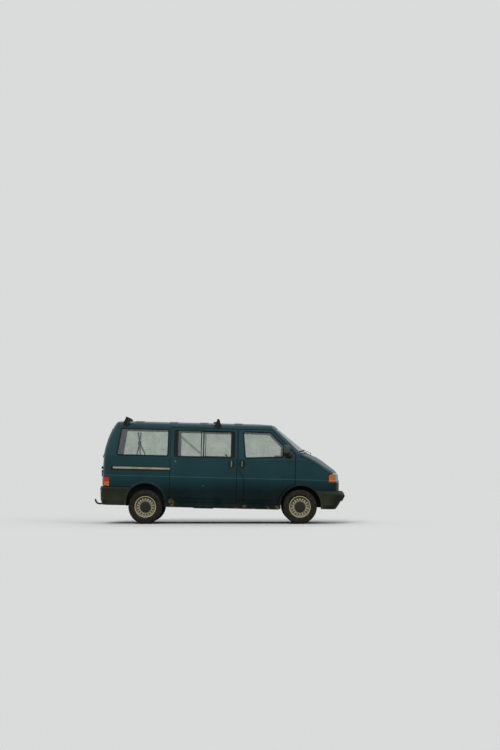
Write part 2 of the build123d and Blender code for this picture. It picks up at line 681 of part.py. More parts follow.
def tow_bar():
    """Tow ball on a swept neck under the rear bumper."""
    neck_top = (TOW_BALL_X, 0, TOW_BALL_Z - TOW_BALL_RADIUS)
    path = Spline((-720, 0, 380), (-860, 0, 318), (TOW_BALL_X + 40, 0, 322), neck_top)
    neck = sweep(Plane(origin=path @ 0, z_dir=path % 0) * Circle(17), path=path)
    ball = Pos(TOW_BALL_X, 0, TOW_BALL_Z) * Sphere(TOW_BALL_RADIUS)
    beam = box(-760, -690, -500, 500, 350, 410)
    return neck + ball + beam


def exhaust():
    """Silencer, pipe and the flat fuel tank under the cabin."""
    under = FLOOR_TOP_Z - FLOOR_THICK
    tank = fillet(box(1180, 1720, -480, 160, under - 145, under - 5).edges(), 30)
    silencer = Pos(1080, 330, under - 85) * Rot(0, 90, 0) * Cylinder(78, 380)
    pipe = Pos(300, 330, under - 50) * Rot(0, 90, 0) * Cylinder(26, 1500)
    front_pipe = Pos(1900, 330, under - 50) * Rot(0, 90, 0) * Cylinder(26, 1400)
    return joined(tank, silencer + pipe + front_pipe)


BEAD = RIM_WIDTH / 2 - 11.0


def tyre():
    """Tyre about the Y axis, centred on its wheel: its section carried round a polygon that rolls flat."""
    half = TYRE_WIDTH / 2
    side = (
        (RIM_RADIUS + 2, BEAD),
        (RIM_RADIUS + 16, BEAD + 1),
        (RIM_RADIUS + 48, half),
        (TYRE_RADIUS - 26, half - 6),
        (TYRE_RADIUS - 7, half - 17),
        (TYRE_RADIUS, half - 38),
    )
    half_step = math.pi / TYRE_SIDES
    grow = 1.0 / math.cos(half_step)
    section = list(side) + [(radius, -y) for radius, y in reversed(side)]
    profile = make_face(Polyline(*[(radius, y, 0) for radius, y in section], close=True))
    turns = [half_step * (2 * index + 1) for index in range(TYRE_SIDES)]
    corners = [(TYRE_RADIUS * grow * math.cos(turn), 0, TYRE_RADIUS * grow * math.sin(turn)) for turn in turns]
    start = (TYRE_RADIUS, 0, 0)
    path = Polyline(start, *corners, start)
    return sweep(profile, path=path, transition=Transition.RIGHT)


def rim():
    """Pressed steel wheel with a ring of small slots and a hub cap; its outer face looks to -Y."""
    half, r = RIM_WIDTH / 2, RIM_RADIUS
    barrel = (
        (r + 1.5, half), (r + 13, half), (r + 13, half - 6), (r + 1, half - 10), (r + 1, 10 - half),
        (r + 14, 5 - half), (r + 14, -2 - half), (r - 3, -half), (r - 10, -66), (r - 12, -48), (r - 22, -44),
        (r - 22, -30), (r - 30, -42), (r - 63, -50), (114, -38), (104, -30), (102, -62), (92, -72), (60, -76),
        (0, -77), (0, -20), (104, -20), (118, -30), (r - 60, -41), (r - 34, -34), (r - 24, -22),
        (r - 12, -34), (r - 5, 60),
    )
    wheel = revolve(Plane.XY * make_face(Polyline(*barrel, close=True)), Axis.Y)
    slot = Pos(r - 46, -38, 0) * Box(26, 40, 19)
    for index in range(RIM_SLOTS):
        wheel -= Rot(0, index * 360.0 / RIM_SLOTS, 0) * slot
    return wheel


def knuckle():
    """Front upright on the right: hub, carrier, ball-joint arms and brake disc."""
    hub = Pos(0, 4, 0) * Rot(90, 0, 0) * Cylinder(62, 46)
    carrier = Pos(0, 62, 0) * Box(90, 46, 170)
    upper = Pos(0, 92, 96) * Box(44, 70, 24)
    lower = Pos(0, 92, -104) * Box(44, 90, 24)
    steer_arm = Pos(-70, 72, -20) * Box(130, 26, 28)
    plate = Pos(0, 30, 0) * Rot(90, 0, 0) * Cylinder(128, 18)
    return hub + carrier + upper + lower + steer_arm + plate


def front_axle():
    """Subframe with wishbones and drive shafts between the front wheels."""
    x, y_hub, low = WHEELBASE, FRONT_TRACK / 2, TYRE_RADIUS - 109.0
    top, arm_z = low + 60.0, low + 20.0
    pieces = box(x - 130, x - 60, -360, 360, low, top) + box(x + 65, x + 125, -360, 360, low, top)
    pieces += box(x - 130, x + 125, -360, -300, low, top) + box(x - 130, x + 125, 300, 360, low, top)
    tip = y_hub - ARM_TO_HUB
    arm = polygon(((x - 120, 340), (x - 70, 340), (x + 22, tip), (x - 22, tip)))
    arm += polygon(((x + 70, 340), (x + 120, 340), (x + 22, tip), (x - 22, tip)))
    arm = Pos(0, 0, arm_z) * extrude(arm, 13, both=True)
    reach = y_hub - SHAFT_TO_HUB - 290.0
    shaft = Pos(x, 290 + reach / 2, TYRE_RADIUS) * Rot(90, 0, 0) * Cylinder(HALF_SHAFT_RADIUS, reach)
    post = box(x - 20, x + 20, 290, 330, arm_z, TYRE_RADIUS + 21)
    side = arm + shaft + post
    return pieces + side + mirror(side, about=Plane.XZ)


def rear_axle():
    """Cross beam with two trailing arms, hub stubs, drums and spring seats at the rear wheels."""
    y_hub, z = REAR_TRACK / 2, TYRE_RADIUS
    pieces = box(395, 455, -520, 520, z + 6, z + 66)
    arm_points = ((455, z + 6), (455, z + 66), (60, z + 26), (-60, z + 26), (-60, z - 26), (60, z - 34))
    arm = slab(polygon(arm_points), -540, -470)
    stub = Pos(0, 145 - y_hub, z) * Rot(90, 0, 0) * Cylinder(HUB_STUB_RADIUS, 326)
    drum = Pos(0, 41 - y_hub, z) * Rot(90, 0, 0) * Cylinder(128, 66)
    spring_seat = Pos(150, -505, z + 64) * Cylinder(55, 90)
    side = arm + stub + drum + spring_seat
    return pieces + side + mirror(side, about=Plane.XZ)


def engine():
    """Engine and gearbox across the nose, as one plain block."""
    return fillet(box(WHEELBASE - 220, WHEELBASE + 370, -470, 470, 396, 900).edges(), 25)


def body_pieces():
    """Every piece that tilts with the body, by node name."""
    parts = front_end()
    parts["body_side_right"] = body_side(opening_block(SLIDE_DOOR))
    parts["body_side_left"] = mirror(body_side(side_block(SLIDE_WINDOW)), about=Plane.XZ)
    parts["roof_panel"] = roof_panel()
    parts["floor_pan"] = floor_block()
    rear_house = wheel_house(REAR_ARCH, REAR_HOUSE_Y, 300, 800, SIDE_WALL + 2.0) - axle_room()
    front_house = wheel_house(FRONT_ARCH, FRONT_HOUSE_Y, 380, 800, 38.0)
    parts["rear_wheel_houses"] = both(rear_house)
    parts["front_wheel_houses"] = both(front_house)
    parts["inner_frame"] = inner_frame()
    parts["firewall"] = firewall()
    door = side_door(FRONT_DOOR, FRONT_WINDOW)
    parts["front_door_right"] = door - handle_recess(*FRONT_HANDLE)
    parts["front_door_left"] = mirror(parts["front_door_right"], about=Plane.XZ)
    parts["sliding_door"] = side_door(SLIDE_DOOR, SLIDE_WINDOW) - handle_recess(*SLIDE_HANDLE)
    parts["front_door_glass_right"] = pane(FRONT_WINDOW)
    parts["front_door_glass_left"] = mirror(parts["front_door_glass_right"], about=Plane.XZ)
    parts["sliding_door_glass"] = pane(SLIDE_WINDOW)
    quarter = pane(QUARTER_WINDOW)
    parts["side_glass"] = joined(both(quarter), mirror(parts["sliding_door_glass"], about=Plane.XZ))
    front_handle = handle(*FRONT_HANDLE)
    parts["front_door_handle_right"] = front_handle
    parts["front_door_handle_left"] = mirror(front_handle, about=Plane.XZ)
    parts["sliding_door_handle"] = handle(*SLIDE_HANDLE)
    rail_end = SLIDE_DOOR_BACK_X - DOOR_GAP / 2
    parts["slide_rail"] = box(-654, rail_end, -919, -909.5, RAIL_LOW_Z, RAIL_TOP_Z)
    parts["mirror_right"] = mirror_unit()
    parts["mirror_left"] = mirror(parts["mirror_right"], about=Plane.XZ)
    parts["tailgate"] = tailgate()
    parts["tailgate_glass"] = PANES & rear_block(grown(TAIL_WINDOW, -GLASS_GAP), FAR_BACK, -420)
    lamp = OUTER - body_form(40.0, 40.0)
    parts["tail_lamps"] = both(lamp & tail_lamp_room(0.0))
    front_arch_end = (FRONT_ARCH_X, FRONT_ARCH_Z, FRONT_ARCH_R + FLARE_WIDTH + 3.0)
    rear_arch_end = (REAR_ARCH_X, REAR_ARCH_Z, REAR_ARCH_R + FLARE_WIDTH + 3.0)
    nose_zone = box(3590, 3900, -FAR_OUT, FAR_OUT, 609, 700)
    tail_zone = box(-1000, -500, -FAR_OUT, FAR_OUT, 662, 700)
    parts["front_bumper"] = bumper(FRONT_BUMPER_LEVELS, 3180, 3900, *front_arch_end, nose_zone)
    rear_bumper = bumper(REAR_BUMPER_LEVELS, -1000, -262, *rear_arch_end, tail_zone)
    parts["rear_bumper"] = rear_bumper - box(-1000, -780, -48, 48, 300, 352)
    parts["tow_bar"] = tow_bar()
    parts["roof_carrier"] = roof_carrier()
    parts["dashboard"] = dashboard()
    parts["steering_wheel"] = steering_wheel()
    parts["front_seats"] = joined(seat(-430, 500), seat(400, 500))
    parts["rear_bench"] = bench()
    parts["engine_block"] = engine()
    parts["exhaust_and_tank"] = exhaust()
    return parts


def ground_pieces():
    """Wheels, knuckles and axles, which stand square on the ground."""
    parts = {"front_axle": front_axle(), "rear_axle": rear_axle()}
    upright = knuckle()
    tyre_shape, rim_shape = tyre(), rim()
    stations = (("front", WHEELBASE, FRONT_TRACK / 2), ("rear", 0.0, REAR_TRACK / 2))
    for place, x, y in stations:
        right = Pos(x, -y, TYRE_RADIUS)
        pairs = [("tyre_" + place, tyre_shape), ("rim_" + place, rim_shape)]
        if place == "front":
            pairs.append(("knuckle", upright))
        for name, shape in pairs:
            placed = right * shape
            parts[name + "_right"] = placed
            parts[name + "_left"] = mirror(placed, about=Plane.XZ)
    return parts


STANCE = Pos(WHEEL_MID_X, 0, 800) * Rot(0, STANCE_DEG, 0) * Pos(-WHEEL_MID_X, 0, -800)


def frame_shift(shapes):
    """Move that puts the middle of the box's foot at the origin."""
    boxes = [shape.bounding_box() for shape in shapes]
    x_mid = (min(b.min.X for b in boxes) + max(b.max.X for b in boxes)) / 2
    z_low = min(b.min.Z for b in boxes)
    return Pos(-x_mid, 0, -z_low)


def main():
    shapes = {name: STANCE * shape for name, shape in body_pieces().items()}
    shapes.update(ground_pieces())
    shift = frame_shift(shapes.values())
    print("frame shift", shift.position)
    os.makedirs("parts", exist_ok=True)
    for name, shape in shapes.items():
        piece = shift * shape
        piece.label = name
        export_step(piece, os.path.join("parts", name + ".step"))


if __name__ == "__main__":
    main()
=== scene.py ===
import bmesh
import bpy
import json
import math
from mathutils import Matrix, Vector
from mathutils.bvhtree import BVHTree


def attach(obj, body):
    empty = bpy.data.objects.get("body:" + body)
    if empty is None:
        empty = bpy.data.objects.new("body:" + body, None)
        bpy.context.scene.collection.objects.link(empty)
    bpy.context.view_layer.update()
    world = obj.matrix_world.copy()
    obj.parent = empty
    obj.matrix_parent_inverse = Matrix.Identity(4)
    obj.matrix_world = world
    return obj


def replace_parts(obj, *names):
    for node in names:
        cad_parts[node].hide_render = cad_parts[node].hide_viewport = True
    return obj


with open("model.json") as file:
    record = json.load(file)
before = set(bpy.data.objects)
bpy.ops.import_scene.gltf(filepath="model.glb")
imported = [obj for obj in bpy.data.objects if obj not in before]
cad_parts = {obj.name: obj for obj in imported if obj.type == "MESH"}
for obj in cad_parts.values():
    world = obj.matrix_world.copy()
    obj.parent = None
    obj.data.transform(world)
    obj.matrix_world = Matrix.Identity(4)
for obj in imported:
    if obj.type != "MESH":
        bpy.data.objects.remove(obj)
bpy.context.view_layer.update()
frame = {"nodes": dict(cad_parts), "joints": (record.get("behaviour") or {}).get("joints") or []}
NODES = frame["nodes"]
JOINTS = {joint["name"]: joint for joint in frame["joints"]}

# Stance: the body is tilted nose down about a point over mid wheelbase, as in the frame
STANCE = math.radians(1.4)
PIVOT_HEIGHT = 0.8
REAR_AXLE = Vector(JOINTS["wheel_rear_right_spin"]["pos_m"])
FRONT_AXLE = Vector(JOINTS["wheel_front_right_spin"]["pos_m"])
MID_X = (REAR_AXLE.x + FRONT_AXLE.x) / 2
HALF_BASE = (FRONT_AXLE.x - REAR_AXLE.x) / 2


def at(x, y, z):
    """Body point in millimetres (x forward of the rear axle, y left, z up) as a point of the frame."""
    dx = x / 1000 - HALF_BASE
    dz = z / 1000 - PIVOT_HEIGHT
    return Vector(
        (
            MID_X + dx * math.cos(STANCE) + dz * math.sin(STANCE),
            y / 1000,
            PIVOT_HEIGHT - dx * math.sin(STANCE) + dz * math.cos(STANCE),
        )
    )


# Half width of the body's flat sides at each height, in millimetres
SIDE_WIDTHS = (
    (295, 893), (490, 918), (862, 920), (875, 911), (985, 909), (1060, 907), (1235, 900),
    (1306, 888), (1379, 876), (1550, 847), (1700, 822), (1802, 805),
)


def width_at(levels, z):
    """Half width at a height, from a table of (height, half width)."""
    for (z0, w0), (z1, w1) in zip(levels, levels[1:]):
        if z <= z1:
            return w0 + (w1 - w0) * (z - z0) / (z1 - z0)
    return levels[-1][1]


def side_width(z):
    """Half width of the body side at a height."""
    return width_at(SIDE_WIDTHS, z)


class Nodes:
    """A node tree that is built up call by call; inputs are values or other nodes' outputs."""

    def __init__(self, tree):
        self.tree = tree

    def node(self, kind, inputs=(), **settings):
        made = self.tree.nodes.new(kind)
        for key, value in settings.items():
            setattr(made, key, value)
        for key, value in dict(inputs).items():
            self.put(made.inputs[key], value)
        return made

    def put(self, socket, value):
        if isinstance(value, bpy.types.NodeSocket):
            self.tree.links.new(value, socket)
        else:
            socket.default_value = value

    def ramp(self, value, low, high):
        """Colour ramp between two stops of (place, colour)."""
        made = self.node("ShaderNodeValToRGB", {"Fac": value})
        for element, (place, shade) in zip(made.color_ramp.elements, (low, high)):
            element.position = place
            element.color = shade
        return made.outputs["Color"]

    def grey(self, value, low, high, at_low=0.0, at_high=1.0):
        """A value mapped from one range to another and kept inside it."""
        ends = {"From Min": low, "From Max": high, "To Min": at_low, "To Max": at_high}
        return self.node("ShaderNodeMapRange", {"Value": value, **ends}).outputs["Result"]

    def math(self, operation, a, b, clamp=False):
        return self.node("ShaderNodeMath", {0: a, 1: b}, operation=operation, use_clamp=clamp).outputs[0]

    def vector(self, operation, a, b=(0, 0, 0)):
        return self.node("ShaderNodeVectorMath", {0: a, 1: b}, operation=operation).outputs

    def mix(self, fac, a, b):
        return self.node("ShaderNodeMix", {"Factor": fac, 6: a, 7: b}, data_type="RGBA").outputs[2]

    def height(self, vector):
        return self.node("ShaderNodeSeparateXYZ", {"Vector": vector}).outputs["Z"]


class Shader(Nodes):
    """A Principled material whose patterns lie in the object's coordinates."""

    def __init__(self, name):
        self.material = bpy.data.materials.new(name)
        self.material.use_nodes = True
        super().__init__(self.material.node_tree)
        self.bsdf = self.tree.nodes["Principled BSDF"]
        self.point = self.node("ShaderNodeTexCoord").outputs["Object"]

    def set(self, **values):
        for key, value in values.items():
            self.put(self.bsdf.inputs[key.replace("_", " ")], value)

    def noise(self, scale, detail=4.0, rough=0.55, vector=None):
        inputs = {"Scale": scale, "Detail": detail, "Roughness": rough, "Vector": vector or self.point}
        return self.node("ShaderNodeTexNoise", inputs).outputs["Fac"]

    def wave(self, scale, direction):
        inputs = {"Scale": scale, "Vector": self.point}
        return self.node("ShaderNodeTexWave", inputs, bands_direction=direction).outputs["Fac"]

    def near(self, centre, radius, soft):
        """1 close to a point, falling to 0 at the radius."""
        return self.grey(self.vector("DISTANCE", self.point, centre)["Value"], radius * soft, radius, 1.0, 0.0)

    def bump(self, height, strength=0.2, distance=0.002):
        made = self.node("ShaderNodeBump", {"Height": height, "Strength": strength, "Distance": distance})
        self.put(self.bsdf.inputs["Normal"], made.outputs["Normal"])


def srgb(r, g, b):
    """Linear colour from 0 to 255 screen values."""
    def linear(c):
        c = c / 255
        return c / 12.92 if c <= 0.04045 else ((c + 0.055) / 1.055) ** 2.4
    return (linear(r), linear(g), linear(b), 1.0)


PAINT = srgb(16, 56, 62)
# Darker paint, mixed in for random tone and as painted shade low on the body
PAINT_DEEP_AND_SHADE = srgb(0, 15, 20)
DUST = srgb(104, 98, 80)
RUST = srgb(128, 104, 62)
RUST_DARK = srgb(62, 48, 30)
# Rusted places: body point in millimetres and reach in metres
RUST_SPOTS = (
    ((478, -905, 410), 0.085), ((530, -905, 385), 0.065), ((505, -900, 330), 0.07), ((1880, -900, 345), 0.06),
    ((2060, -895, 300), 0.05), ((2330, -895, 300), 0.08), ((2500, -905, 330), 0.07), ((1720, -900, 310), 0.04),
)
# Small bare marks: body point in millimetres and reach in metres
MARKS = (((560, -906, 1157), 0.010), ((1086, -920, 712), 0.005), ((1100, -920, 716), 0.004))


def paint_material():
    """Dark petrol blue paint with painted shade darkening it towards the bottom, dusty low down, with rust along the
    sill and at the sliding door's foot.
    """
    s = Shader("body_paint")
    height = s.height(s.point)
    drift = s.noise(1.1, 3.0)
    # Random tone from the drift plus painted shade from height: the paint turns darker below 0.86 m
    shade = s.math("ADD", s.grey(drift, 0.35, 0.65, -0.1, 0.15), s.grey(height, 0.86, 0.62, 0.1, 0.85), True)
    colour = s.mix(shade, PAINT, PAINT_DEEP_AND_SHADE)
    stretched = s.node("ShaderNodeMapping", {"Vector": s.point, "Scale": (1.0, 1.0, 0.35)}).outputs["Vector"]
    streaks = s.noise(6.0, 6.0, 0.6, stretched)
    low = s.grey(height, 0.52, 0.26, 0.0, 0.42)
    speckle = s.grey(s.noise(90.0, 3.0, 0.7), 0.45, 0.7, 0.0, 1.0)
    splash = s.math("MULTIPLY", low, s.grey(streaks, 0.42, 0.68, 0.25, 1.0), True)
    splash = s.math("MULTIPLY", splash, s.grey(speckle, 0.0, 1.0, 0.55, 1.0), True)
    top_dust = s.math("MULTIPLY", s.grey(height, 1.7, 1.95, 0.0, 0.12), s.grey(streaks, 0.3, 0.7), True)
    dust = s.math("ADD", splash, top_dust, True)
    colour = s.mix(s.math("MULTIPLY", dust, 0.6), colour, DUST)
    grain = s.noise(38.0, 8.0, 0.75)
    rust = 0.0
    for place, reach in RUST_SPOTS:
        rust = s.math("MAXIMUM", rust, s.near(at(*place), reach, 0.05))
    edge = s.math("ADD", rust, s.grey(grain, 0.3, 0.7, -0.95, 0.42))
    rust = s.grey(edge, 0.34, 0.42)
    colour = s.mix(rust, colour, s.mix(s.grey(s.noise(140.0, 3.0), 0.4, 0.6), RUST_DARK, RUST))
    chips = 0.0
    for place, reach in MARKS:
        chips = s.math("MAXIMUM", chips, s.near(at(*place), reach, 0.6))
    colour = s.mix(chips, colour, srgb(186, 186, 176))
    s.set(Base_Color=colour, IOR=1.42, Coat_Weight=0.2, Coat_Roughness=0.1)
    rough = s.math("ADD", s.grey(drift, 0.3, 0.7, 0.22, 0.32), s.math("MULTIPLY", dust, 0.35))
    s.set(Roughness=s.math("MAXIMUM", rough, s.math("MULTIPLY", rust, 0.85)))
    fine = s.math("MULTIPLY", s.noise(260.0, 2.0), 0.03)
    s.bump(s.math("ADD", s.math("MULTIPLY", rust, grain), fine), 0.35, 0.0012)
    return s.material


def inner_paint_material():
    """Duller paint inside the body."""
    s = Shader("inner_paint")
    grain = s.noise(30.0, 5.0)
    s.set(Base_Color=s.mix(s.grey(grain, 0.35, 0.65), srgb(30, 48, 58), srgb(42, 58, 66)), Roughness=0.6)
    s.bump(grain, 0.1, 0.001)
    return s.material


def plastic_material(name, dark, light, rough=0.55, dusty=0.35):
    """Grained moulded plastic, faded and dusty."""
    s = Shader(name)
    grain = s.node("ShaderNodeTexVoronoi", {"Scale": 520.0, "Vector": s.point}).outputs["Distance"]
    fade = s.noise(3.2, 5.0)
    colour = s.mix(s.grey(fade, 0.35, 0.68), dark, light)
    low = s.math("MULTIPLY", s.grey(s.height(s.point), 0.7, 0.3, 0.0, dusty), s.noise(9.0, 6.0), True)
    s.set(Base_Color=s.mix(low, colour, DUST), Roughness=s.grey(fade, 0.3, 0.7, rough - 0.06, rough + 0.1))
    s.bump(grain, 0.3, 0.0006)
    return s.material


def metal_material(name, dark, light, metallic, rough, rust_share=0.0):
    """Painted or bare metal with specks and stains."""
    s = Shader(name)
    stain = s.noise(7.0, 6.0, 0.65)
    colour = s.mix(s.grey(stain, 0.35, 0.65), dark, light)
    if rust_share:
        spots = s.grey(s.noise(16.0, 7.0, 0.7), 0.62 - rust_share, 0.72 - rust_share)
        colour = s.mix(spots, colour, s.mix(s.noise(90.0), RUST_DARK, RUST))
    s.set(Base_Color=colour, Metallic=metallic, Roughness=s.grey(stain, 0.3, 0.7, rough - 0.08, rough + 0.12))
    s.bump(s.noise(180.0, 3.0), 0.15, 0.0006)
    return s.material


def glass_material(name, tint, reflect=0.09, dirt=0.10):
    """Window glass: tinted and clear, with a sharp reflection and a film of dust."""
    s = Shader(name)
    film = s.grey(s.noise(5.0, 6.0), 0.35, 0.75, 0.0, dirt)
    clear = s.node("ShaderNodeBsdfTransparent", {"Color": tint})
    gloss = s.node("ShaderNodeBsdfGlossy", {"Roughness": 0.03, "Color": (0.92, 0.97, 1.0, 1)})
    fresnel = s.node("ShaderNodeFresnel", {"IOR": 1.5})
    amount = s.math("ADD", fresnel.outputs[0], reflect, True)
    shine = s.node("ShaderNodeMixShader", {0: amount, 1: clear.outputs[0], 2: gloss.outputs[0]})
    s.set(Base_Color=DUST, Roughness=0.8)
    whole = s.node("ShaderNodeMixShader", {0: film, 1: shine.outputs[0], 2: s.bsdf.outputs[0]})
    s.put(s.tree.nodes["Material Output"].inputs["Surface"], whole.outputs[0])
    return s.material


def lens_material(name, colour, deep, ribs, direction, metallic=0.0):
    """Moulded lamp lens with fine upright ribs over a bright back."""
    s = Shader(name)
    wave = s.wave(ribs, direction)
    shade = s.mix(s.grey(wave, 0.2, 0.8), deep, colour)
    s.set(Base_Color=shade, Roughness=0.12, Metallic=metallic, Coat_Weight=0.6, Coat_Roughness=0.03)
    s.bump(wave, 0.35, 0.0015)
    return s.material


def tyre_material():
    """Dusty black rubber."""
    s = Shader("tyre_rubber")
    dusty = s.noise(18.0, 6.0)
    colour = s.mix(s.grey(dusty, 0.35, 0.75, 0.0, 0.55), srgb(21, 22, 21), srgb(62, 60, 52))
    s.set(Base_Color=colour, Roughness=0.82)
    s.bump(s.noise(140.0, 3.0), 0.25, 0.001)
    return s.material


def cloth_material(name, dark, light, threads):
    """Woven seat cloth with a sheen."""
    s = Shader(name)
    weave = s.math("MULTIPLY", s.wave(threads, "Y"), s.wave(threads, "X"))
    worn = s.noise(8.0, 5.0)
    colour = s.mix(s.grey(weave, 0.2, 0.8), dark, light)
    colour = s.mix(s.grey(worn, 0.45, 0.75, 0.0, 0.3), colour, srgb(110, 108, 104))
    s.set(Base_Color=colour, Roughness=0.9, Sheen_Weight=0.3)
    s.bump(weave, 0.4, 0.0008)
    return s.material


def rim_material(name, centre):
    """Cream steel wheel, dark plastic cap inside its hub radius, painted shade in a dark ring over the well, then a
    pale ring and a darker outer edge.
    """
    s = Shader(name)
    flat = s.vector("MULTIPLY", s.vector("SUBTRACT", s.point, centre)[0], (1, 0, 1))[0]
    radius = s.vector("LENGTH", flat)["Value"]
    stain = s.noise(22.0, 6.0, 0.65)
    paint = s.mix(s.grey(stain, 0.38, 0.7, 0.0, 0.6), srgb(176, 172, 150), srgb(120, 104, 78))
    # Rings from the middle out: where each starts and is full in metres, its share and its colour
    # The first, dark ring is painted shade in the rim's well
    for start, full, share, colour in (
        (0.168, 0.174, 0.8, srgb(78, 72, 58)),
        (0.186, 0.190, 1.0, srgb(186, 170, 122)),
        (0.199, 0.202, 0.6, srgb(96, 88, 68)),
    ):
        paint = s.mix(s.grey(radius, start, full, 0.0, share), paint, colour)
    cap = s.mix(s.grey(stain, 0.35, 0.7), srgb(34, 36, 38), srgb(58, 60, 60))
    is_cap = s.grey(radius, 0.1035, 0.1025)
    s.set(Base_Color=s.mix(is_cap, paint, cap), Roughness=s.grey(stain, 0.3, 0.7, 0.42, 0.62))
    s.bump(stain, 0.12, 0.001)
    return s.material


def linked(name, data):
    """New object in the scene."""
    made = bpy.data.objects.new(name, data)
    bpy.context.scene.collection.objects.link(made)
    return made


def mesh_from(bm, name):
    """Mesh of a bmesh, which is freed."""
    mesh = bpy.data.meshes.new(name)
    bm.to_mesh(mesh)
    bm.free()
    return mesh


def new_object(name, mesh, body, material):
    """Object of a mesh that rides on a body."""
    made = linked(name, mesh)
    mesh.materials.append(material)
    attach(made, body)
    return made


def from_bmesh(name, bm, body, material, smooth=False, bevel=0.0, levels=0):
    """Turn a bmesh into a riding object, with an optional bevel or subdivision and its material's slot."""
    bmesh.ops.recalc_face_normals(bm, faces=bm.faces)
    made = new_object(name, mesh_from(bm, name), body, material)
    for polygon in made.data.polygons:
        polygon.use_smooth = smooth or levels > 0
    if bevel:
        modifier = made.modifiers.new("edge", "BEVEL")
        modifier.width = bevel
        modifier.segments = 3
        modifier.limit_method = "ANGLE"
    if levels:
        modifier = made.modifiers.new("round", "SUBSURF")
        modifier.levels = modifier.render_levels = levels
    return made


def piece(name, body, material, form, *args, smooth=False, bevel=0.0, slot=True, **options):
    """Riding object of one form, made by one of the functions below."""
    bm = bmesh.new()
    form(bm, *args, **options)
    return from_bmesh(name, bm, body, material, smooth, bevel)


def add_box(bm, low, high, place=None):
    """Box between two corners, given as any points; place maps them to the frame."""
    corners = []
    for z in (low[2], high[2]):
        for x, y in ((low[0], low[1]), (high[0], low[1]), (high[0], high[1]), (low[0], high[1])):
            corners.append(bm.verts.new(place(x, y, z) if place else (x, y, z)))
    for ring in ((3, 2, 1, 0), (4, 5, 6, 7), (0, 1, 5, 4), (1, 2, 6, 5), (2, 3, 7, 6), (3, 0, 4, 7)):
        bm.faces.new([corners[i] for i in ring])


def skin(bm, rings, closed=False, ends=2):
    """Faces between rings of points; no end, the last one or both are capped, or the last ring meets the first."""
    for a, b in zip(rings, rings[1:] + rings[:1] if closed else rings[1:]):
        for k in range(len(a)):
            ahead = (k + 1) % len(a)
            bm.faces.new((a[k], a[ahead], b[ahead], b[k]))
    if ends and not closed:
        bm.faces.new(rings[-1])
    if ends == 2 and not closed:
        bm.faces.new(list(reversed(rings[0])))


def circle(bm, steps, spot):
    """Ring of points, each from a function of its cosine and sine."""
    turns = [2 * math.pi * k / steps for k in range(steps)]
    return [bm.verts.new(spot(math.cos(turn), math.sin(turn))) for turn in turns]


def add_tube(bm, points, radius, sides=10, closed=False, flat=1.0):
    """Tube along points, with rings square to the path."""
    rings = []
    count = len(points)
    for index, point in enumerate(points):
        before = points[index - 1] if index or closed else point
        after = points[(index + 1) % count] if index < count - 1 or closed else point
        along = (after - before).normalized()
        side = along.cross(Vector((0, 0, 1)) if abs(along.z) < 0.95 else Vector((0, 1, 0))).normalized()
        up = side.cross(along).normalized()
        rings.append(circle(bm, sides, lambda c, s: point + side * c * radius + up * s * radius * flat))
    skin(bm, rings, closed)


def add_turned(bm, profile, place, steps=48, closed=False):
    """Turned form: profile of (radius, height) about an axis, placed by a function of (x, y, z)."""
    rings = [circle(bm, steps, lambda c, s: place(radius * c, radius * s, height)) for radius, height in profile]
    skin(bm, rings, closed)


def rounded(points, radius, steps=5):
    """Closed outline through corner points, each corner an arc."""
    outline = []
    corners = [Vector(point) for point in points]
    for before, corner, after in zip(corners[-1:] + corners, corners, corners[1:] + corners[:1]):
        before, after = (before - corner).normalized(), (after - corner).normalized()
        half = before.angle(after) / 2
        centre = corner + (before + after).normalized() * (radius / math.sin(half))
        start, end = (corner + way * (radius / math.tan(half)) - centre for way in (before, after))
        sweep = math.atan2(start.cross(end), start.dot(end))
        outline += [centre + Matrix.Rotation(sweep * k / steps, 2) @ start for k in range(steps + 1)]
    return outline


def oblong(x0, z0, x1, z1, radius):
    """Rounded rectangle between two corners."""
    return rounded([(x0, z0), (x1, z0), (x1, z1), (x0, z1)], radius)


def inwards(outline, amount):
    """A closed outline moved inwards by an amount (outwards if negative)."""
    after = outline[1:] + outline[:1]
    sign = 1 if sum(a.x * b.y - b.x * a.y for a, b in zip(outline, after)) > 0 else -1
    moved = []
    for i, point in enumerate(outline):
        along = (after[i] - outline[i - 1]).normalized()
        moved.append(point + Vector((-along.y, along.x)) * amount * sign)
    return moved


def dense(outline, step):
    """Points added so that no stretch is longer than a step."""
    result = []
    for a, b in zip(outline, outline[1:] + outline[:1]):
        parts = max(1, int((b - a).length / step))
        result.extend(a + (b - a) * (k / parts) for k in range(parts))
    return result


def side_point(side):
    """Maps (x, z, out) in millimetres to the frame on a body side, out from the skin."""
    return lambda u, v, out: at(u, side * (side_width(v) + out), v)


def add_stack(bm, outline, levels, place, closed=False, ends=2):
    """An outline repeated at levels of (inset, out) and skinned; place maps (u, v, out) to the frame."""
    rings = [[bm.verts.new(place(p.x, p.y, out)) for p in inwards(outline, inset)] for inset, out in levels]
    skin(bm, rings, closed, ends)


def add_band(bm, outline, inner, outer, place, proud, sunk):
    """Strip that follows an outline, from outer offset to inner offset, raised in the middle."""
    mid_a, mid_b = outer + (inner - outer) * 0.25, outer + (inner - outer) * 0.8
    levels = ((outer, -sunk), (outer, proud * 0.4), (mid_a, proud), (mid_b, proud), (inner, -sunk))
    add_stack(bm, outline, levels, place, ends=0)


def add_bar(bm, section, stations, place):
    """Bar of one section of (v, out) at stations u."""
    skin(bm, [[bm.verts.new(place(u, v, out)) for v, out in section] for u in stations])


RIGHT, LEFT = -1, 1
SIDES = ((RIGHT, "right"), (LEFT, "left"))
# Wheels: name, side and centre
WHEELS = [
    (f"{end}_{label}", side, Vector(JOINTS[f"wheel_{end}_{label}_spin"]["pos_m"]))
    for end in ("front", "rear") for side, label in SIDES
]

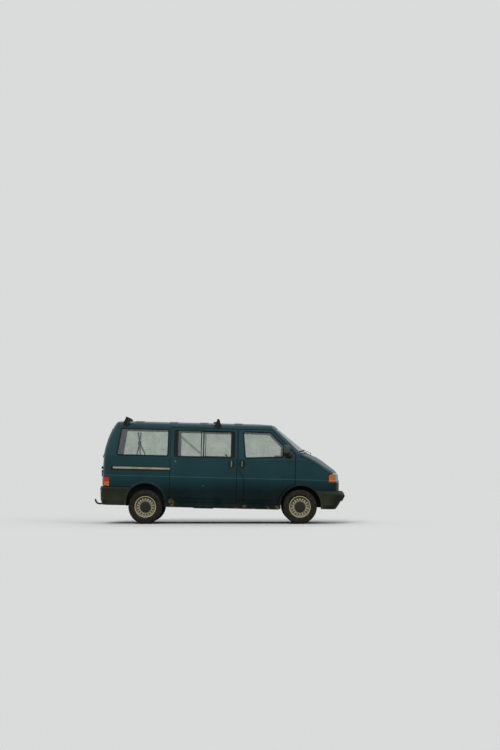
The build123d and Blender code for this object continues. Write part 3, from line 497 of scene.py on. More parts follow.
paint = paint_material()
inner_paint = inner_paint_material()
bumper_grey = plastic_material("bumper_plastic", srgb(15, 24, 12), srgb(28, 37, 23))
black_plastic = plastic_material("black_plastic", srgb(20, 22, 23), srgb(34, 36, 37), 0.5, 0.15)
cab_plastic = plastic_material("cab_plastic", srgb(30, 32, 35), srgb(48, 50, 53), 0.6, 0.0)
mirror_shell = plastic_material("mirror_shell", srgb(52, 60, 54), srgb(76, 84, 74), 0.5, 0.1)
grip_grey = plastic_material("grip_plastic", srgb(92, 98, 100), srgb(120, 126, 126), 0.45, 0.1)
rubber = plastic_material("rubber_seal", srgb(14, 15, 16), srgb(26, 28, 29), 0.65, 0.2)
dark_steel = metal_material("dark_steel", srgb(26, 26, 28), srgb(52, 48, 44), 0.3, 0.6, 0.12)
bright_steel = metal_material("bright_steel", srgb(130, 132, 134), srgb(168, 170, 170), 0.9, 0.35, 0.05)
cast_metal = metal_material("cast_metal", srgb(46, 44, 42), srgb(92, 88, 82), 0.5, 0.6, 0.1)
rail_paint = metal_material("rail_paint", srgb(150, 138, 116), srgb(184, 172, 146), 0.2, 0.4)
carrier_black = metal_material("carrier_black", srgb(22, 24, 25), srgb(44, 46, 46), 0.2, 0.55)
window_glass = glass_material("window_glass", (0.88, 0.91, 0.87, 1))
screen_glass = glass_material("screen_glass", (0.88, 0.92, 0.90, 1), 0.40)
clear_lens = lens_material("clear_lens", srgb(206, 214, 216), srgb(120, 130, 134), 90.0, "Y", 0.35)
amber_lens = lens_material("amber_lens", srgb(214, 118, 32), srgb(150, 66, 14), 110.0, "Z")
plate_white = plastic_material("plate_white", srgb(196, 198, 196), srgb(222, 222, 218), 0.4, 0.2)
mirror_metal = metal_material("mirror_metal", srgb(170, 176, 180), srgb(190, 196, 200), 1.0, 0.06)
tyre_rubber = tyre_material()
seat_cloth = cloth_material("seat_cloth", srgb(46, 52, 62), srgb(78, 84, 94), 150.0)
belt_web = cloth_material("belt_web", srgb(176, 178, 176), srgb(206, 208, 204), 250.0)

# Height in millimetres at which the tail lamp changes from amber to red
LAMP_SPLIT = 752


def tail_lens_material():
    """Tail lamp: red above, amber below, with fine ribs."""
    s = Shader("tail_lens")
    split_z = at(-760, 0, LAMP_SPLIT).z
    upper = s.grey(s.height(s.point), split_z - 0.001, split_z + 0.001)
    ribs = s.wave(120.0, "Z")
    colour = s.mix(upper, srgb(214, 112, 40), srgb(188, 44, 26))
    s.set(Base_Color=s.mix(s.grey(ribs, 0.0, 1.0, 0.0, 0.3), colour, srgb(90, 24, 14)), Roughness=0.15)
    s.set(Coat_Weight=0.6, Coat_Roughness=0.04)
    s.bump(ribs, 0.3, 0.001)
    return s.material


tail_lens = tail_lens_material()

MATERIAL_OF = {
    paint: (
        "body_side_right", "body_side_left", "roof_panel", "front_fenders", "nose_panel", "bonnet", "cowl",
        "sliding_door", "front_door_right", "front_door_left", "tailgate",
    ),
    inner_paint: ("floor_pan", "firewall", "inner_frame"),
    bumper_grey: ("front_bumper", "rear_bumper"),
    mirror_shell: ("mirror_right", "mirror_left"),
    black_plastic: (
        "grille", "front_wheel_houses", "rear_wheel_houses",
        "sliding_door_handle", "front_door_handle_right", "front_door_handle_left",
    ),
    cab_plastic: ("dashboard", "steering_wheel"),
    dark_steel: (
        "front_axle", "rear_axle", "knuckle_left", "knuckle_right", "tow_bar", "exhaust_and_tank",
        "lamp_carrier",
    ),
    carrier_black: ("roof_carrier",),
    cast_metal: ("engine_block",),
    rail_paint: ("slide_rail",),
    window_glass: (
        "side_glass", "sliding_door_glass", "front_door_glass_right", "front_door_glass_left", "tailgate_glass",
    ),
    screen_glass: ("windscreen",),
    clear_lens: ("headlamps",),
    amber_lens: ("turn_signals",),
    tail_lens: ("tail_lamps",),
    seat_cloth: ("front_seats", "rear_bench"),
    tyre_rubber: tuple(f"tyre_{wheel}" for wheel, _, _ in WHEELS),
}
# Each CAD node gets its material
for material, names in MATERIAL_OF.items():
    for name in names:
        NODES[name].data.materials.clear()
        NODES[name].data.materials.append(material)


# Wheel slots in metres: how many, radius of their middles, half size of the cut and how far out the disc is
SLOTS = 18
SLOT_RADIUS = 0.146
SLOT_HALF = Vector((0.019, 0.022, 0.010))
DISC_OUT = 0.038


def add_slotted_rim(wheel, side, centre):
    """The frame's wheel with its slots cut longer towards the rim."""
    node = f"rim_{wheel}"
    middle = Vector((SLOT_RADIUS, side * DISC_OUT, 0))
    bm = bmesh.new()
    for index in range(SLOTS):
        turn = Matrix.Rotation(2 * math.pi * index / SLOTS, 3, "Y")
        add_box(bm, -SLOT_HALF, SLOT_HALF, lambda *spot: centre + turn @ (middle + Vector(spot)))
    bmesh.ops.recalc_face_normals(bm, faces=bm.faces)
    cutter = linked("cutter", mesh_from(bm, "slots"))
    blank = linked("blank", NODES[node].data.copy())
    cut = blank.modifiers.new("slots", "BOOLEAN")
    cut.operation = "DIFFERENCE"
    cut.object = cutter
    cut.solver = "EXACT"
    shape = bpy.data.meshes.new_from_object(blank.evaluated_get(bpy.context.evaluated_depsgraph_get()))
    for made in (cutter, blank):
        bpy.data.objects.remove(made)
    shape.materials.clear()
    look = rim_material(f"rim_paint_{wheel}", centre)
    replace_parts(new_object(f"slotted_{node}", shape, f"wheel_{wheel}", look), node)


def surface_of(*names):
    """Search tree over CAD nodes, for laying pieces on them."""
    points, faces = [], []
    for name in names:
        node = NODES[name]
        base = len(points)
        points += [node.matrix_world @ vertex.co for vertex in node.data.vertices]
        faces += [[base + index for index in polygon.vertices] for polygon in node.data.polygons]
    return BVHTree.FromPolygons(points, faces)


def laid_on(tree, start, direction, out=0.0):
    """Point where a ray meets a surface, moved out along its normal."""
    direction = Vector(direction).normalized()
    hit, normal, _, _ = tree.ray_cast(Vector(start) - direction * 2.0, direction)
    if hit is None:
        hit, normal, _, _ = tree.find_nearest(Vector(start))
    if normal.dot(direction) > 0:
        normal = -normal
    return hit + normal * out


def face_rim(node, facing):
    """Outline of the side of a node that faces a direction: the longest loop of its boundary edges."""
    world = NODES[node].matrix_world
    facing = Vector(facing).normalized()
    bm = bmesh.new()
    bm.from_mesh(NODES[node].data)
    bmesh.ops.remove_doubles(bm, verts=bm.verts, dist=0.0002)
    gone = [face for face in bm.faces if (world.to_3x3() @ face.normal).dot(facing) < 0.5]
    bmesh.ops.delete(bm, geom=gone, context="FACES")
    links = {}
    for edge in bm.edges:
        if edge.is_boundary:
            a, b = edge.verts
            links.setdefault(a, []).append(b)
            links.setdefault(b, []).append(a)
    loops = []
    while links:
        current = min(links, key=lambda vert: vert.index)
        loops.append([])
        while current:
            loops[-1].append(current)
            current = next((vert for vert in links.pop(current) if vert in links), None)
    rim = [world @ vert.co for vert in max(loops, key=len)]
    bm.free()
    return rim


def even(loop, step):
    """A closed loop walked at an even step."""
    points = list(loop) + [loop[0]]
    total = sum((b - a).length for a, b in zip(points, points[1:]))
    count = max(8, int(total / step))
    gap = total / count
    walked, done, goal = [], 0.0, 0.0
    for a, b in zip(points, points[1:]):
        length = (b - a).length
        while length > 0 and goal <= done + length + 1e-9 and len(walked) < count:
            walked.append(a + (b - a) * ((goal - done) / length))
            goal += gap
        done += length
    return walked


def softened(loop):
    """A closed loop with each point drawn to its neighbours."""
    return [(loop[i - 1] + loop[i] * 2 + loop[(i + 1) % len(loop)]) / 4 for i in range(len(loop))]


# Side windows in millimetres, as in the frame's openings: corners, corner radius and whether a door carries them
WINDOWS = {
    "front_window": (((1875, 1250), (1824, 1758), (2350, 1750), (2604, 1503), (2596, 1284)), 34, True),
    "slide_window": (((532, 1250), (532, 1752), (1671, 1752), (1671, 1250)), 32, False),
    "quarter_window": (((-560, 1254), (-482, 1762), (422, 1764), (416, 1254)), 32, False),
}


def add_window_seals():
    """Rubber seals round the windows."""
    for window, (corners, radius, on_door) in WINDOWS.items():
        outline = dense(rounded(corners, radius), 60.0)
        for side, label in SIDES:
            bm = bmesh.new()
            add_band(bm, outline, 17.0, -9.0, side_point(side), 5.0, 6.0)
            body = f"door_{label}" if on_door else "body"
            from_bmesh(f"{window}_seal_{label}", bm, body, rubber, smooth=True)
    for name, node, facing, body, radius in (
        ("windscreen_seal", "windscreen", (0.8, 0, 0.6), "body", 0.011),
        ("tail_window_seal", "tailgate_glass", (-1, 0, 0.25), "tailgate", 0.010),
    ):
        piece(
            name, body, rubber,
            add_tube, softened(even(face_rim(node, facing), 0.03)), radius, 8, closed=True, smooth=True,
        )


def add_window_borders():
    """Wide dark borders and the two dividing bars of the sliding pane, with its catch."""
    for side, label in SIDES:
        place = side_point(side)
        bm = bmesh.new()
        for x0, x1 in ((545, 604), (1600, 1659), (1034, 1050), (1080, 1096)):
            mid = (x0 + x1) / 2
            section = ((x0, -2.2), (mid, -2.2), (x1, -2.2), (x1, -7), (mid, -7), (x0, -7))
            for stations in ((1266, 1500), (1500, 1736)):
                add_bar(bm, section, stations, lambda z, x, out: place(x, z, out))
        for z in (1268, 1728):
            add_bar(bm, ((z, -7), (z + 8, -7), (z + 8, -1.5), (z, -1.5)), (1096, 1348, 1600), place)
        from_bmesh(f"sliding_pane_frame_{label}", bm, "body", rubber)
        knob = ((13, -1), (14, 4), (11, 9), (4, 11))
        piece(
            f"sliding_pane_catch_{label}", "body", black_plastic,
            add_turned, knob, lambda u, v, out: place(1512 + u, 1300 + v, out - 2), 20, smooth=True,
        )


# Tyres with tread: a side's profile as (radius, distance from the middle) in metres
TYRE_SIDE = (
    (0.195, 0.070), (0.203, 0.082), (0.212, 0.0905), (0.222, 0.0945), (0.234, 0.0965), (0.2365, 0.0985),
    (0.2395, 0.0985), (0.242, 0.0968), (0.262, 0.0972), (0.280, 0.0955), (0.294, 0.0905), (0.304, 0.0865),
    (0.312, 0.0830), (0.3185, 0.0760),
)
TREAD_ROWS = 30
TREAD_STEPS = 240
TREAD_HALF = 0.0690
TYRE_R = REAR_AXLE.z - 0.0006
CROWN = 0.0022
# Notches in the shoulder from a radius out, and the profile's last rows, which are shaded flat like the tread
SHOULDER_RADIUS, NOTCH = 0.300, 0.0022
FLAT_ROWS = 4
# Long grooves as shares of the half width, half their width, and the depths of grooves, sipes and outer cuts
GROOVES, GROOVE_HALF = (0.24, 0.66), 0.05
GROOVE_DEPTH, SIPE_DEPTH, OUTER_DEPTH = 0.0075, 0.0055, 0.006


def tread_depth(y, k):
    """How deep the tread is cut at a place across and a step around."""
    across = abs(y) / TREAD_HALF
    if any(abs(across - groove) < GROOVE_HALF for groove in GROOVES):
        return GROOVE_DEPTH
    row = sum(across >= groove for groove in GROOVES)
    if row == 2:
        return OUTER_DEPTH if k % 4 == 0 and across > 0.72 else 0.0
    return SIPE_DEPTH if (k + int(round(y * 60)) + row * 2) % 6 == 0 else 0.0


def add_tyre(wheel, centre):
    """Tyre with tread blocks and shoulder notches, in place of the plain one."""
    rows = [(radius, -y, False) for radius, y in TYRE_SIDE]
    for j in range(TREAD_ROWS + 1):
        y = -TREAD_HALF + 2 * TREAD_HALF * j / TREAD_ROWS
        rows.append((TYRE_R - CROWN * (y / TREAD_HALF) ** 2, y, True))
    rows += [(radius, y, False) for radius, y in reversed(TYRE_SIDE)]
    bm = bmesh.new()
    rings = []
    for radius, y, is_tread in rows:
        ring = []
        for k in range(TREAD_STEPS):
            turn = 2 * math.pi * k / TREAD_STEPS
            notch = NOTCH if radius > SHOULDER_RADIUS and k % 4 == 0 else 0.0
            r = radius - (tread_depth(y, k) if is_tread else notch)
            ring.append(bm.verts.new(centre + Vector((r * math.cos(turn), y, r * math.sin(turn)))))
        rings.append(ring)
    skin(bm, rings, closed=True)
    made = from_bmesh(f"tread_tyre_{wheel}", bm, f"wheel_{wheel}", tyre_rubber)
    first = len(TYRE_SIDE) - FLAT_ROWS
    for polygon in made.data.polygons:
        ring = polygon.index // TREAD_STEPS
        polygon.use_smooth = ring < first or ring >= len(rows) - first
    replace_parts(made, f"tyre_{wheel}")


# Hub cap as (radius, distance out) in metres from its seat on the disc, and the valve's radius and turn
HUB_CAP = (
    (0.1000, -0.004), (0.1015, 0.004), (0.1000, 0.0105), (0.0955, 0.0135), (0.0900, 0.0138), (0.0850, 0.0120),
    (0.0720, 0.0150), (0.0600, 0.0182), (0.0470, 0.0190), (0.0440, 0.0165), (0.0380, 0.0160), (0.0345, 0.0178),
    (0.0200, 0.0188), (0.0060, 0.0190),
)
HUB_OUT = 0.062
VALVE_RADIUS, VALVE_TURN = 0.166, 0.9


def add_hub_cap(wheel, side, centre):
    """Dark plastic hub cap with a raised rim and a dished middle, and the tyre valve."""
    piece(
        f"hub_cap_{wheel}", f"wheel_{wheel}", black_plastic,
        add_turned, HUB_CAP, lambda u, v, out: centre + Vector((u, side * (HUB_OUT + out), v)), 72, smooth=True,
    )
    foot = Vector((VALVE_RADIUS * math.cos(VALVE_TURN), side * 0.030, VALVE_RADIUS * math.sin(VALVE_TURN)))
    bends = ((0, 0, 0), (0, side * 0.022, 0), (0.004, side * 0.034, 0.004))
    piece(
        f"valve_{wheel}", f"wheel_{wheel}", rubber,
        add_tube, [centre + foot + Vector(bend) for bend in bends], 0.0042, smooth=True,
    )


# Wipers: name, body, (y, z) of the pivot, the blade's ends and the arm's end in millimetres, and stand-off
WIPERS = (
    ("wiper_right", "body", (-60, 1352), ((-745, 1404), (-120, 1432)), (-430, 1420), 0.016),
    ("wiper_left", "body", (650, 1340), ((-30, 1438), (590, 1408)), (280, 1424), 0.016),
    ("wiper_rear", "tailgate", (0, 1222), ((-90, 1318), (400, 1318)), (150, 1320), 0.014),
)
BLADE_STEPS = 9


def add_wipers():
    """Each an arm from a pivot to the middle of a blade that follows the glass."""
    # Surface to lie on, direction to look in and where to start
    screen = surface_of("windscreen", "cowl"), (-1, 0, 0), 2900
    tail = surface_of("tailgate", "tailgate_glass"), (1, 0, 0), -700
    for name, body, pivot, (a, b), arm_end, out in WIPERS:
        tree, ray, start = screen if body == "body" else tail

        def on_glass(spot, lift):
            return laid_on(tree, at(start, *spot), ray, lift)

        shares = [k / BLADE_STEPS for k in range(BLADE_STEPS + 1)]
        line = [(a[0] + (b[0] - a[0]) * share, a[1] + (b[1] - a[1]) * share) for share in shares]
        bm = bmesh.new()
        add_tube(bm, [on_glass(spot, 0.004) for spot in line], 0.0035, 6, flat=1.6)
        add_tube(bm, [on_glass(spot, 0.012) for spot in line], 0.0055, 8, flat=0.7)
        for spot in line[1::2]:
            add_tube(bm, [on_glass(spot, 0.010), on_glass(spot, out + 0.002)], 0.005, 6)
        add_tube(bm, [on_glass(pivot, 0.010), on_glass(pivot, 0.030)], 0.013, 14)
        top, mid = on_glass(pivot, 0.026), on_glass(arm_end, out + 0.004)
        bend = top.lerp(mid, 0.45) + (on_glass(arm_end, 0.03) - mid).normalized() * 0.006
        add_tube(bm, [top, bend, mid], 0.0060, 8, flat=0.6)
        from_bmesh(name, bm, body, black_plastic, smooth=True)


# Blank plates and their holders: name, body, x and z in millimetres, tilt, look, width, height and thickness
BACK, AHEAD = math.pi - STANCE, math.radians(28)
PLATES = (
    ("plate_rear", "tailgate", -873, 905, BACK, plate_white, 0.520, 0.110, 0.003),
    ("plate_rear_holder", "tailgate", -869, 905, BACK, black_plastic, 0.534, 0.124, 0.004),
    ("plate_front", "body", 3788, 534, AHEAD, plate_white, 0.520, 0.110, 0.003),
    ("plate_front_holder", "body", 3780, 534, AHEAD, black_plastic, 0.536, 0.128, 0.008),
)


def add_plates():
    """Plates with rounded corners and a pressed rim, on the tailgate and on the front bumper."""
    for name, body, x, z, tilt, look, width, height, thick in PLATES:
        centre, turn = at(x, 0, z), Matrix.Rotation(tilt, 3, "Y")
        levels = ((0.0, -thick), (0.0, thick * 0.5), (0.003, thick), (0.006, thick), (0.009, thick * 0.4))
        outline = oblong(-width / 2, -height / 2, width / 2, height / 2, 0.012)
        piece(
            name, body, look,
            add_stack, outline, levels, lambda u, v, out: centre + turn @ Vector((out, u, v)), slot=False,
        )


def add_tailgate_fittings():
    """Handle strip above the plate, and a lock barrel."""
    levels = ((0, -2), (0, 12), (5, 20), (14, 22), (18, 15))
    outline = oblong(-310, 985, 310, 1035, 16)
    piece(
        "tailgate_handle", "tailgate", black_plastic,
        add_stack, outline, levels, lambda u, v, out: at(-857 - out - 5 * (1 - (u / 310) ** 2), u, v),
    )
    barrel = ((14, -4), (14, 3), (11, 6), (4, 6))
    piece(
        "tailgate_lock", "tailgate", bright_steel,
        add_turned, barrel, lambda u, v, out: at(-876 - out, 150 + u, 1010 + v), 24, smooth=True,
    )


def add_locks():
    """Key barrels below the front door handles."""
    barrel = ((13, -6), (13, 1), (11, 3), (5, 3.4), (4.4, 1.5))
    for side, label in SIDES:
        place = side_point(side)
        piece(
            f"door_lock_{label}", f"door_{label}", dark_steel,
            add_turned, barrel, lambda u, v, out: place(1822 + u, 1044 + v, out), 24, smooth=True, slot=False,
        )


def add_handle_grips():
    """Grey pull grips standing in the black handle cups."""
    spots = ((1820, 1139, RIGHT, "door_right"), (1820, 1139, LEFT, "door_left"), (1619, 1134, RIGHT, "body"))
    for index, (x, z, side, body) in enumerate(spots):
        place = side_point(side)
        piece(
            f"handle_grip_{index}", body, grip_grey,
            add_stack, oblong(x - 13, z - 60, x + 13, z + 60, 11), ((0, 7), (0, 13), (3, 17), (8, 18)), place,
            smooth=True,
        )
        turns = [math.pi * k / 24 for k in range(48)]
        cup = [Vector((x + 57 * math.cos(turn), z + 75 * math.sin(turn))) for turn in turns]
        piece(
            f"handle_cup_edge_{index}", body, black_plastic,
            add_band, cup, 7.0, -4.0, place, 4.0, 4.0, smooth=True,
        )


def add_rail_trim():
    """Dark lips along the slide rail and its end stop."""
    place = side_point(RIGHT)
    bm = bmesh.new()
    for low, high in ((988, 1000), (1036, 1048)):
        add_bar(bm, ((low, 1), (high, 1), (high, 14), (low, 14)), (-660, -200, 200, 451), place)
    from_bmesh("slide_rail_lips", bm, "body", black_plastic, bevel=0.001)
    outline = rounded([(-656, 992), (-618, 988), (-618, 1048), (-656, 1044)], 8)
    piece(
        "slide_rail_stop", "body", black_plastic,
        add_stack, outline, ((0, -1), (0, 14), (4, 18)), place, smooth=True,
    )


# Mirror heads and mounts: sections as (y, x, z, half length, half height) in millimetres, rounded by a power
MIRROR_HEAD = (
    (930, 2664, 1432, 48, 66), (936, 2660, 1433, 60, 80), (950, 2657, 1434, 67, 87), (1000, 2655, 1434, 69, 89),
    (1060, 2654, 1435, 66, 86), (1078, 2653, 1436, 60, 78), (1088, 2652, 1437, 46, 62),
)
MIRROR_MOUNT = (
    (884, 2712, 1338, 62, 62), (905, 2710, 1340, 63, 64), (930, 2706, 1342, 60, 64),
    (958, 2698, 1352, 52, 58), (985, 2686, 1368, 40, 48), (996, 2682, 1374, 30, 38),
)
MIRROR_BACK, MIRROR_POWER = 2594, 2.7
# What of the frame's mirror stays: its sail plate, up to this far from the middle in metres
SAIL_REACH = 0.912


def add_mirrors():
    """Rounded mirror heads on stubby mounts, with the sail plates kept and the glass on the rear faces."""
    def eased(value):
        return math.copysign(abs(value) ** (2 / MIRROR_POWER), value)

    for side, label in SIDES:
        bm = bmesh.new()
        bm.from_mesh(NODES[f"mirror_{label}"].data)
        far = [face for face in bm.faces if abs(face.calc_center_median().y) > SAIL_REACH]
        bmesh.ops.delete(bm, geom=far, context="FACES")
        for sections, back in ((MIRROR_HEAD, MIRROR_BACK), (MIRROR_MOUNT, -math.inf)):
            skin(bm, [
                circle(bm, 32, lambda c, s: at(max(x + half_x * eased(c), back), side * y, z + half_z * eased(s)))
                for y, x, z, half_x, half_z in sections
            ])
        head = from_bmesh(f"mirror_head_{label}", bm, f"door_{label}", mirror_shell, smooth=True)
        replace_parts(head, f"mirror_{label}")
        bm = bmesh.new()
        outline = oblong(950, 1362, 1070, 1506, 34)
        levels = ((-4, -3), (-4, 2), (0, 3.5), (2.5, 2), (3, 1.4))
        add_stack(bm, outline, levels, lambda y, z, out: at(MIRROR_BACK - out, side * y, z))
        made = from_bmesh(f"mirror_glass_{label}", bm, f"door_{label}", mirror_metal)
        made.data.materials.append(black_plastic)
        glass = (len(levels) - 1) * len(outline)
        for polygon in made.data.polygons:
            polygon.material_index = 0 if polygon.index == glass else 1


# Wheel arches: centre (x, z), radius, side the bumper is on, heights of its end, and its half width at each height
ARCHES = {
    "front": (2945, 375, 382, 1, (327, 673), ((325, 884), (400, 906), (594, 924), (624, 924), (671, 916))),
    "rear": (6, 373, 358, -1, (310, 657), ((308, 894), (400, 914), (596, 924), (622, 924), (655, 914))),
}
ARCH_STEPS = 14


def add_arch_ends():
    """Bumper ends that form the arch edges behind the rear wheels and ahead of the front ones."""
    for name, (cx, cz, radius, ahead, (low, high), levels) in ARCHES.items():
        for side, label in SIDES:
            bm = bmesh.new()
            rows = []
            for k in range(ARCH_STEPS + 1):
                z = low + (high - low) * k / ARCH_STEPS
                skin_y = width_at(levels, z) + 0.6
                section = ((-0.5, 880), (-0.5, 924), (3, 928), (38, 928), (50, skin_y), (50, 880))
                reaches = [(ahead * math.sqrt((radius + reach) ** 2 - (z - cz) ** 2), y) for reach, y in section]
                rows.append([bm.verts.new(at(cx + x, side * y, z)) for x, y in reaches])
            skin(bm, rows)
            from_bmesh(f"bumper_end_{name}_{label}", bm, "body", bumper_grey)


# Turned forms in millimetres as (radius, place along the axis)
BRAKE_SHIELD = ((66, 5), (120, 5), (162, 2), (166, 5), (166, 8), (120, 9), (66, 9))
SILENCER = (
    (12, -206), (60, -204), (76, -194), (79, -180), (79, -60), (81, -58), (81, -50), (79, -48), (79, 180),
    (76, 194), (60, 204), (12, 206),
)


def add_underbody():
    """Brake shields inside the wheels and the shell of the hanging silencer."""
    for wheel, side, centre in WHEELS:
        def onto(u, v, out):
            return centre + Vector((u, side * out, v)) / 1000

        body = wheel.replace("front", "knuckle") if wheel.startswith("front") else "body"
        piece(
            f"brake_shield_{wheel}", body, dark_steel,
            add_turned, BRAKE_SHIELD, onto, 40, closed=True, smooth=True,
        )
    piece(
        "silencer_shell", "body", dark_steel,
        add_turned, SILENCER, lambda u, v, out: at(1080 + out, 330 + u, 338 + v), 32, smooth=True,
    )


def add_reflectors():
    """Small red reflectors at the rear bumper's corners."""
    tree = surface_of("rear_bumper")
    levels = ((0, -0.012), (0, 0.004), (0.003, 0.006))
    for side, label in SIDES:
        centre = laid_on(tree, at(-880, side * 700, 560), (1, 0, 0))
        outline = oblong(-0.045, -0.018, 0.045, 0.018, 0.008)
        piece(
            f"reflector_{label}", "body", tail_lens,
            add_stack, outline, levels, lambda u, v, out: centre + Vector((-out, u, v)),
        )


def add_strap(bm, points, width, thick=0.0016):
    """Flat webbing along points, its width along the body."""
    rows = []
    for index, point in enumerate(points):
        along = points[min(index + 1, len(points) - 1)] - points[max(index - 1, 0)]
        across = along.normalized().cross(Vector((0, 1, 0))).normalized() * (width / 2)
        face = Vector((0, thick / 2, 0))
        rows.append([bm.verts.new(point + across * a + face * b) for a, b in ((-1, -1), (1, -1), (1, 1), (-1, 1))])
    skin(bm, rows)


# Rear belts hanging at the far side: points in metres from the rear axle's x
BELT_GATHER = (-0.200, 0.735, 1.560)
BELT_TOPS = ((-0.232, 0.742, 1.765), (-0.172, 0.742, 1.765))
BELT_FEET = ((-0.262, 0.750, 1.30), (-0.185, 0.750, 1.29), (-0.092, 0.750, 1.33))


def add_belts():
    """Rear belts on the left wall, gathered at a buckle, and the front belts on the door posts."""
    def spot(x, y, z):
        return Vector((REAR_AXLE.x + x, y, z))

    gather = spot(*BELT_GATHER)
    slack = Vector((0, 0.004, 0))
    bm = bmesh.new()
    for top in BELT_TOPS:
        add_strap(bm, [spot(*top), spot(*top).lerp(gather, 0.5) + slack, gather], 0.026)
    for foot in BELT_FEET:
        add_strap(bm, [gather, gather.lerp(spot(*foot), 0.5) - slack, spot(*foot)], 0.026)
    from_bmesh("rear_belts", bm, "body", belt_web)
    bm = bmesh.new()
    for offset in (0.0, 0.036):
        top, foot = spot(0.597 + offset, 0.735, 1.690), spot(0.994 + offset, 0.740, 1.343)
        add_strap(bm, [top, top.lerp(foot, 0.5) + Vector((0, 0.003, -0.006)), foot], 0.012)
    from_bmesh("side_belts", bm, "body", belt_web)
    bm = bmesh.new()
    for side in (RIGHT, LEFT):
        top, low = at(1765, side * 718, 1600), at(1790, side * 716, 560)
        add_strap(bm, [top, top.lerp(low, 0.3), top.lerp(low, 0.7), low], 0.046)
    from_bmesh("front_belts", bm, "body", belt_web)
    outline = oblong(-0.030, -0.034, 0.030, 0.034, 0.008)
    levels = ((0, 0.008), (0, -0.006), (0.004, -0.010))
    piece(
        "rear_belt_buckle", "body", black_plastic,
        add_stack, outline, levels, lambda u, v, out: gather + Vector((u, out, v)),
    )


# Front door opening in the side view, its corners in millimetres
DOOR_EDGE = (
    (1860, 396), (2515, 396), (2530, 484), (2568, 580), (2634, 671), (2722, 745), (2828, 789), (2828, 1347),
    (2370, 1797), (1742, 1797), (1742, 1037), (1860, 870),
)


def add_door_seals():
    """Rubber flaps behind the edges of the front doors, and strips in the gap between lamps and bonnet."""
    edge = dense([Vector(corner) for corner in DOOR_EDGE], 160)
    for side, label in SIDES:
        piece(
            f"door_seal_{label}", "body", rubber,
            add_stack, edge, ((-12, -58), (24, -58), (24, -61), (-12, -61)), side_point(side), closed=True,
        )
    bm = bmesh.new()
    x = FRONT_AXLE.x
    for side in (RIGHT, LEFT):
        add_box(bm, (x + 0.450, side * 0.600, 0.920), (x + 0.635, side * 0.604, 0.963))
    from_bmesh("lamp_gap_seal", bm, "body", rubber)


CUSHION_STEPS = 26, 30
# Share of a cushion's half size past which its corners are pulled in, and of its width that a channel takes
CORNER, CHANNEL = 0.86, 0.035


def drawn(u, v):
    """Share of its reach that a cushion keeps along u: its sides are drawn in between the corners."""
    return 1 - 0.035 * (1 - min(1, abs(v)) ** 2) * abs(u) ** 6


def add_cushion(name, centre, size, turn, channel, crown):
    """Padded block with a crowned face, two sewn channels across it and piping round its upper edge."""
    long, wide, thick = size
    nx, ny = CUSHION_STEPS
    edge_height = thick / 2 - crown * 0.6
    bm = bmesh.new()

    def spot(u, v, upper):
        height = -thick / 2
        if upper:
            sunk = sum(math.exp(-(((v - place) / CHANNEL) ** 2)) for place in (-channel, channel))
            height = edge_height + crown * (1 - abs(u) ** 3.2) * (1 - abs(v) ** 3.2)
            height -= 0.012 * min(1.0, sunk) * (1 - abs(u) ** 8)
        pull = 1 - 0.05 * max(0.0, abs(u) - CORNER) * max(0.0, abs(v) - CORNER) / (1 - CORNER) ** 2
        x, y = u * long / 2 * drawn(u, v), v * wide / 2 * drawn(v, u)
        return bm.verts.new(centre + turn @ Vector((x * pull, y * pull, height)))

    rims = []
    for upper, order in ((True, 1), (False, -1)):
        grid = [[spot(-1 + 2 * i / nx, -1 + 2 * j / ny, upper) for j in range(ny + 1)] for i in range(nx + 1)]
        for i in range(nx):
            for j in range(ny):
                bm.faces.new((grid[i][j], grid[i + 1][j], grid[i + 1][j + 1], grid[i][j + 1])[::order])
        near = [row[0] for row in grid[:-1]] + grid[-1][:-1]
        rims.append(near + [row[-1] for row in grid[:0:-1]] + grid[0][:0:-1])
    middle = []
    for a, b in zip(*rims):
        point = (a.co + b.co) / 2
        outward = turn.transposed() @ (point - centre)
        middle.append(bm.verts.new(point + turn @ Vector((outward.x, outward.y, 0)).normalized() * 0.010))
    skin(bm, [rims[0], middle, rims[1]], ends=0)
    made = from_bmesh(name, bm, "body", seat_cloth, levels=1)
    rim = []
    for p in dense(oblong(-long / 2, -wide / 2, long / 2, wide / 2, 0.03), 0.03):
        u, v = p.x / (long / 2), p.y / (wide / 2)
        rim.append(centre + turn @ Vector((p.x * drawn(u, v), p.y * drawn(v, u), edge_height + 0.001)))
    piece(f"{name}_piping", "body", cab_plastic, add_tube, rim, 0.003, 6, closed=True, smooth=True)
    return made


# Seats: name and its ending, y, (x, z) and size of cushion and back, the back's turn in degrees, channels as a share
# of the half width, crown, and (x, z) of the box's lower and upper corner with its half width
SEAT = (
    (2090, 797), (0.52, 0.49, 0.118), (1832, 1092), (0.56, 0.47, 0.11), 78, 0.5, 0.03, (1900, 512), (2260, 735), 190,
)
BENCH = (
    (460, 817), (0.52, 1.15, 0.118), (215, 1042), (0.42, 1.13, 0.11), 80, 0.34, 0.028, (255, 508), (648, 752), 550,
)
SEATS = (("seat", "_right", -430, SEAT), ("seat", "_left", 400, SEAT), ("bench", "", 0, BENCH))


def add_seats():
    """Two front seats and the rear bench, each a cushion, a back and a box."""
    flat = Matrix.Rotation(STANCE, 3, "Y")
    cushions = []
    for name, ending, y, (low, size, high, back_size, degrees, channel, crown, foot, top, half) in SEATS:
        upright = Matrix.Rotation(STANCE + math.radians(degrees), 3, "Y")
        spot = at(low[0], y, low[1])
        cushions.append(add_cushion(f"{name}_cushion{ending}", spot, size, flat, channel, crown))
        add_cushion(f"{name}_back{ending}", at(high[0], y, high[1]), back_size, upright, channel, crown)
        piece(
            f"{name}_box{ending}", "body", cab_plastic,
            add_box, at(foot[0], y - half, foot[1]), at(top[0], y + half, top[1]) - Vector((0, 0, 0.01)),
            bevel=0.012,
        )
    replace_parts(cushions[0], "front_seats")
    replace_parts(cushions[2], "rear_bench")


